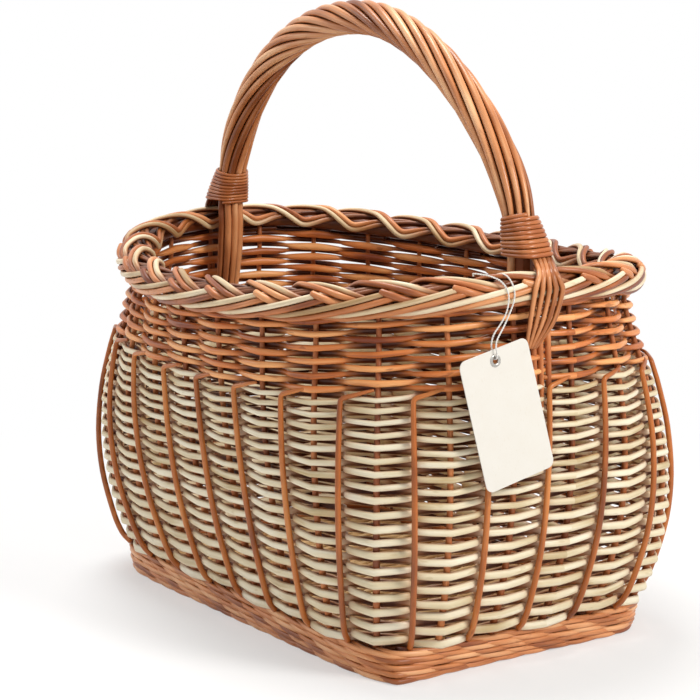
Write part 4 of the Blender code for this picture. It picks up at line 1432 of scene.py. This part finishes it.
def make_string(finish, eyelet):
    """Two twisted plies from the plait through the eyelet and back."""
    line = smooth_line(STRING_ROUTE, 6)
    length = lengths_along(line)[-1]
    fine = even_line(line, STRING_POINTS)
    turns = np.linspace(0, TURN * length / PLY_TURN_LENGTH, len(fine))
    plies = [[], []]
    for point, turn, (side, other) in zip(fine, turns, sides_along(fine, STRING_LEAD)):
        offset = PLY_OFFSET * (side * math.cos(turn) + other * math.sin(turn))
        for ply, sign in zip(plies, (1, -1)):
            ply.append(point + offset * sign)
    bundle = Bundle()
    for ply in plies:
        bundle.sweep(round_rings(ply, PLY_RADIUS, 8))
    string = bundle.build("tag_cord", finish, "string", "string", "tag_string")
    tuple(STRING_ROUTE[0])


# Studio


def make_floor():
    """Floor that keeps the basket's shadow and fades into the white background."""
    far = FLOOR_HALF_WIDTH
    mesh = bpy.data.meshes.new("floor")
    mesh.from_pydata([(-far, -far, 0), (far, -far, 0), (far, far, 0), (-far, far, 0)], [], [(0, 1, 2, 3)])
    floor = bpy.data.objects.new("floor", mesh)
    bpy.context.scene.collection.objects.link(floor)
    pale = Finish("pale floor", Roughness=0.9, Specular_IOR_Level=0.1, Base_Color=FLOOR_COLOUR)
    glow = pale.node("Emission", {}, {"Color": WHITE, "Strength": 1.0})
    away = pale.node("VectorMath", {"operation": "LENGTH"}, {0: pale.spot()}).outputs["Value"]
    clear = FLOOR_FADE_START + (1 - FLOOR_FADE_START) * pale.step(Value(pale, away), *FLOOR_FADE)
    shown = pale.background() * clear
    blend = pale.node("MixShader", {}, {0: shown, 1: pale.shader.outputs[0], 2: glow.outputs[0]})
    output = pale.tree.nodes["Material Output"]
    pale.tree.links.new(blend.outputs[0], output.inputs["Surface"])
    mesh.materials.append(pale.material)


def make_sky():
    """Even studio light, with a white background for what looks past the basket."""
    world = bpy.data.worlds.new("studio")
    bpy.context.scene.world = world
    world.use_nodes = True
    world.node_tree.nodes.clear()
    sky = Nodes(world.node_tree)
    lit = sky.node("Background", {}, {"Color": SKY_TINT, "Strength": SKY_STRENGTH})
    shown = sky.node("Background", {}, {"Color": WHITE, "Strength": 1.0})
    sockets = {0: sky.background(), 1: lit.outputs[0], 2: shown.outputs[0]}
    sky.node("OutputWorld", {}, {"Surface": sky.node("MixShader", {}, sockets).outputs[0]})


def make_lamps():
    """Soft round lamps, all aimed at the middle of the basket."""
    for name, (place, size, power, tint) in LAMPS.items():
        lamp = bpy.data.lights.new(name, "AREA")
        lamp.shape = "DISK"
        lamp.size = size
        lamp.energy = power
        lamp.color = tint
        holder = bpy.data.objects.new(name, lamp)
        holder.location = place
        aim = Vector(LAMP_AIM) - Vector(place)
        holder.rotation_euler = aim.to_track_quat("-Z", "Y").to_euler()
        bpy.context.scene.collection.objects.link(holder)


def make_camera():
    """Camera at the photograph's viewing angle."""
    lens = bpy.data.cameras.new("camera")
    lens.sensor_width = SENSOR_WIDTH
    lens.lens = SENSOR_WIDTH * FOCAL_PIXELS / PHOTO_PIXELS
    lens.shift_x, lens.shift_y = (shift / PHOTO_PIXELS for shift in SHIFT_PIXELS)
    lens.clip_end = SIGHT_LENGTH
    camera = bpy.data.objects.new("camera", lens)
    x = CAMERA_DISTANCE * math.sin(CAMERA_BEARING)
    y = -CAMERA_DISTANCE * math.cos(CAMERA_BEARING)
    camera.location = (x, y, CAMERA_HEIGHT)
    camera.rotation_euler = (math.pi / 2 - CAMERA_DIP, 0.0, CAMERA_HEADING)
    bpy.context.scene.collection.objects.link(camera)
    bpy.context.scene.camera = camera
    bpy.context.scene.view_settings.view_transform = "Standard"


def main():
    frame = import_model()
    make_floor()
    make_sky()
    make_lamps()
    make_camera()

    make_card(card_finish())
    eyelet = make_eyelet(steel_finish())
    make_string(string_finish(), eyelet)
    make_lower_weave(willow("peeled willow"))
    make_upper_weave(willow("steamed willow"))
    stake_willow = willow("stake willow")
    make_stakes(stake_willow)
    make_ribs(willow("rib willow"))
    make_foot(willow("stout steamed willow"))
    base_willow = willow("base willow")
    make_base(base_willow)
    make_plait(willow("pale plait willow"), willow("brown plait willow"))
    radius = make_handle(willow("handle willow"))
    make_collars(radius, willow("skein willow"))
    sticks = {f"base_stick_{number}": base_willow for number in range(1, 5)}
    for name, finish in {"handle_core": stake_willow, **sticks}.items():
        for place in frame["nodes"][name].material_slots:
            place.material = finish


main()
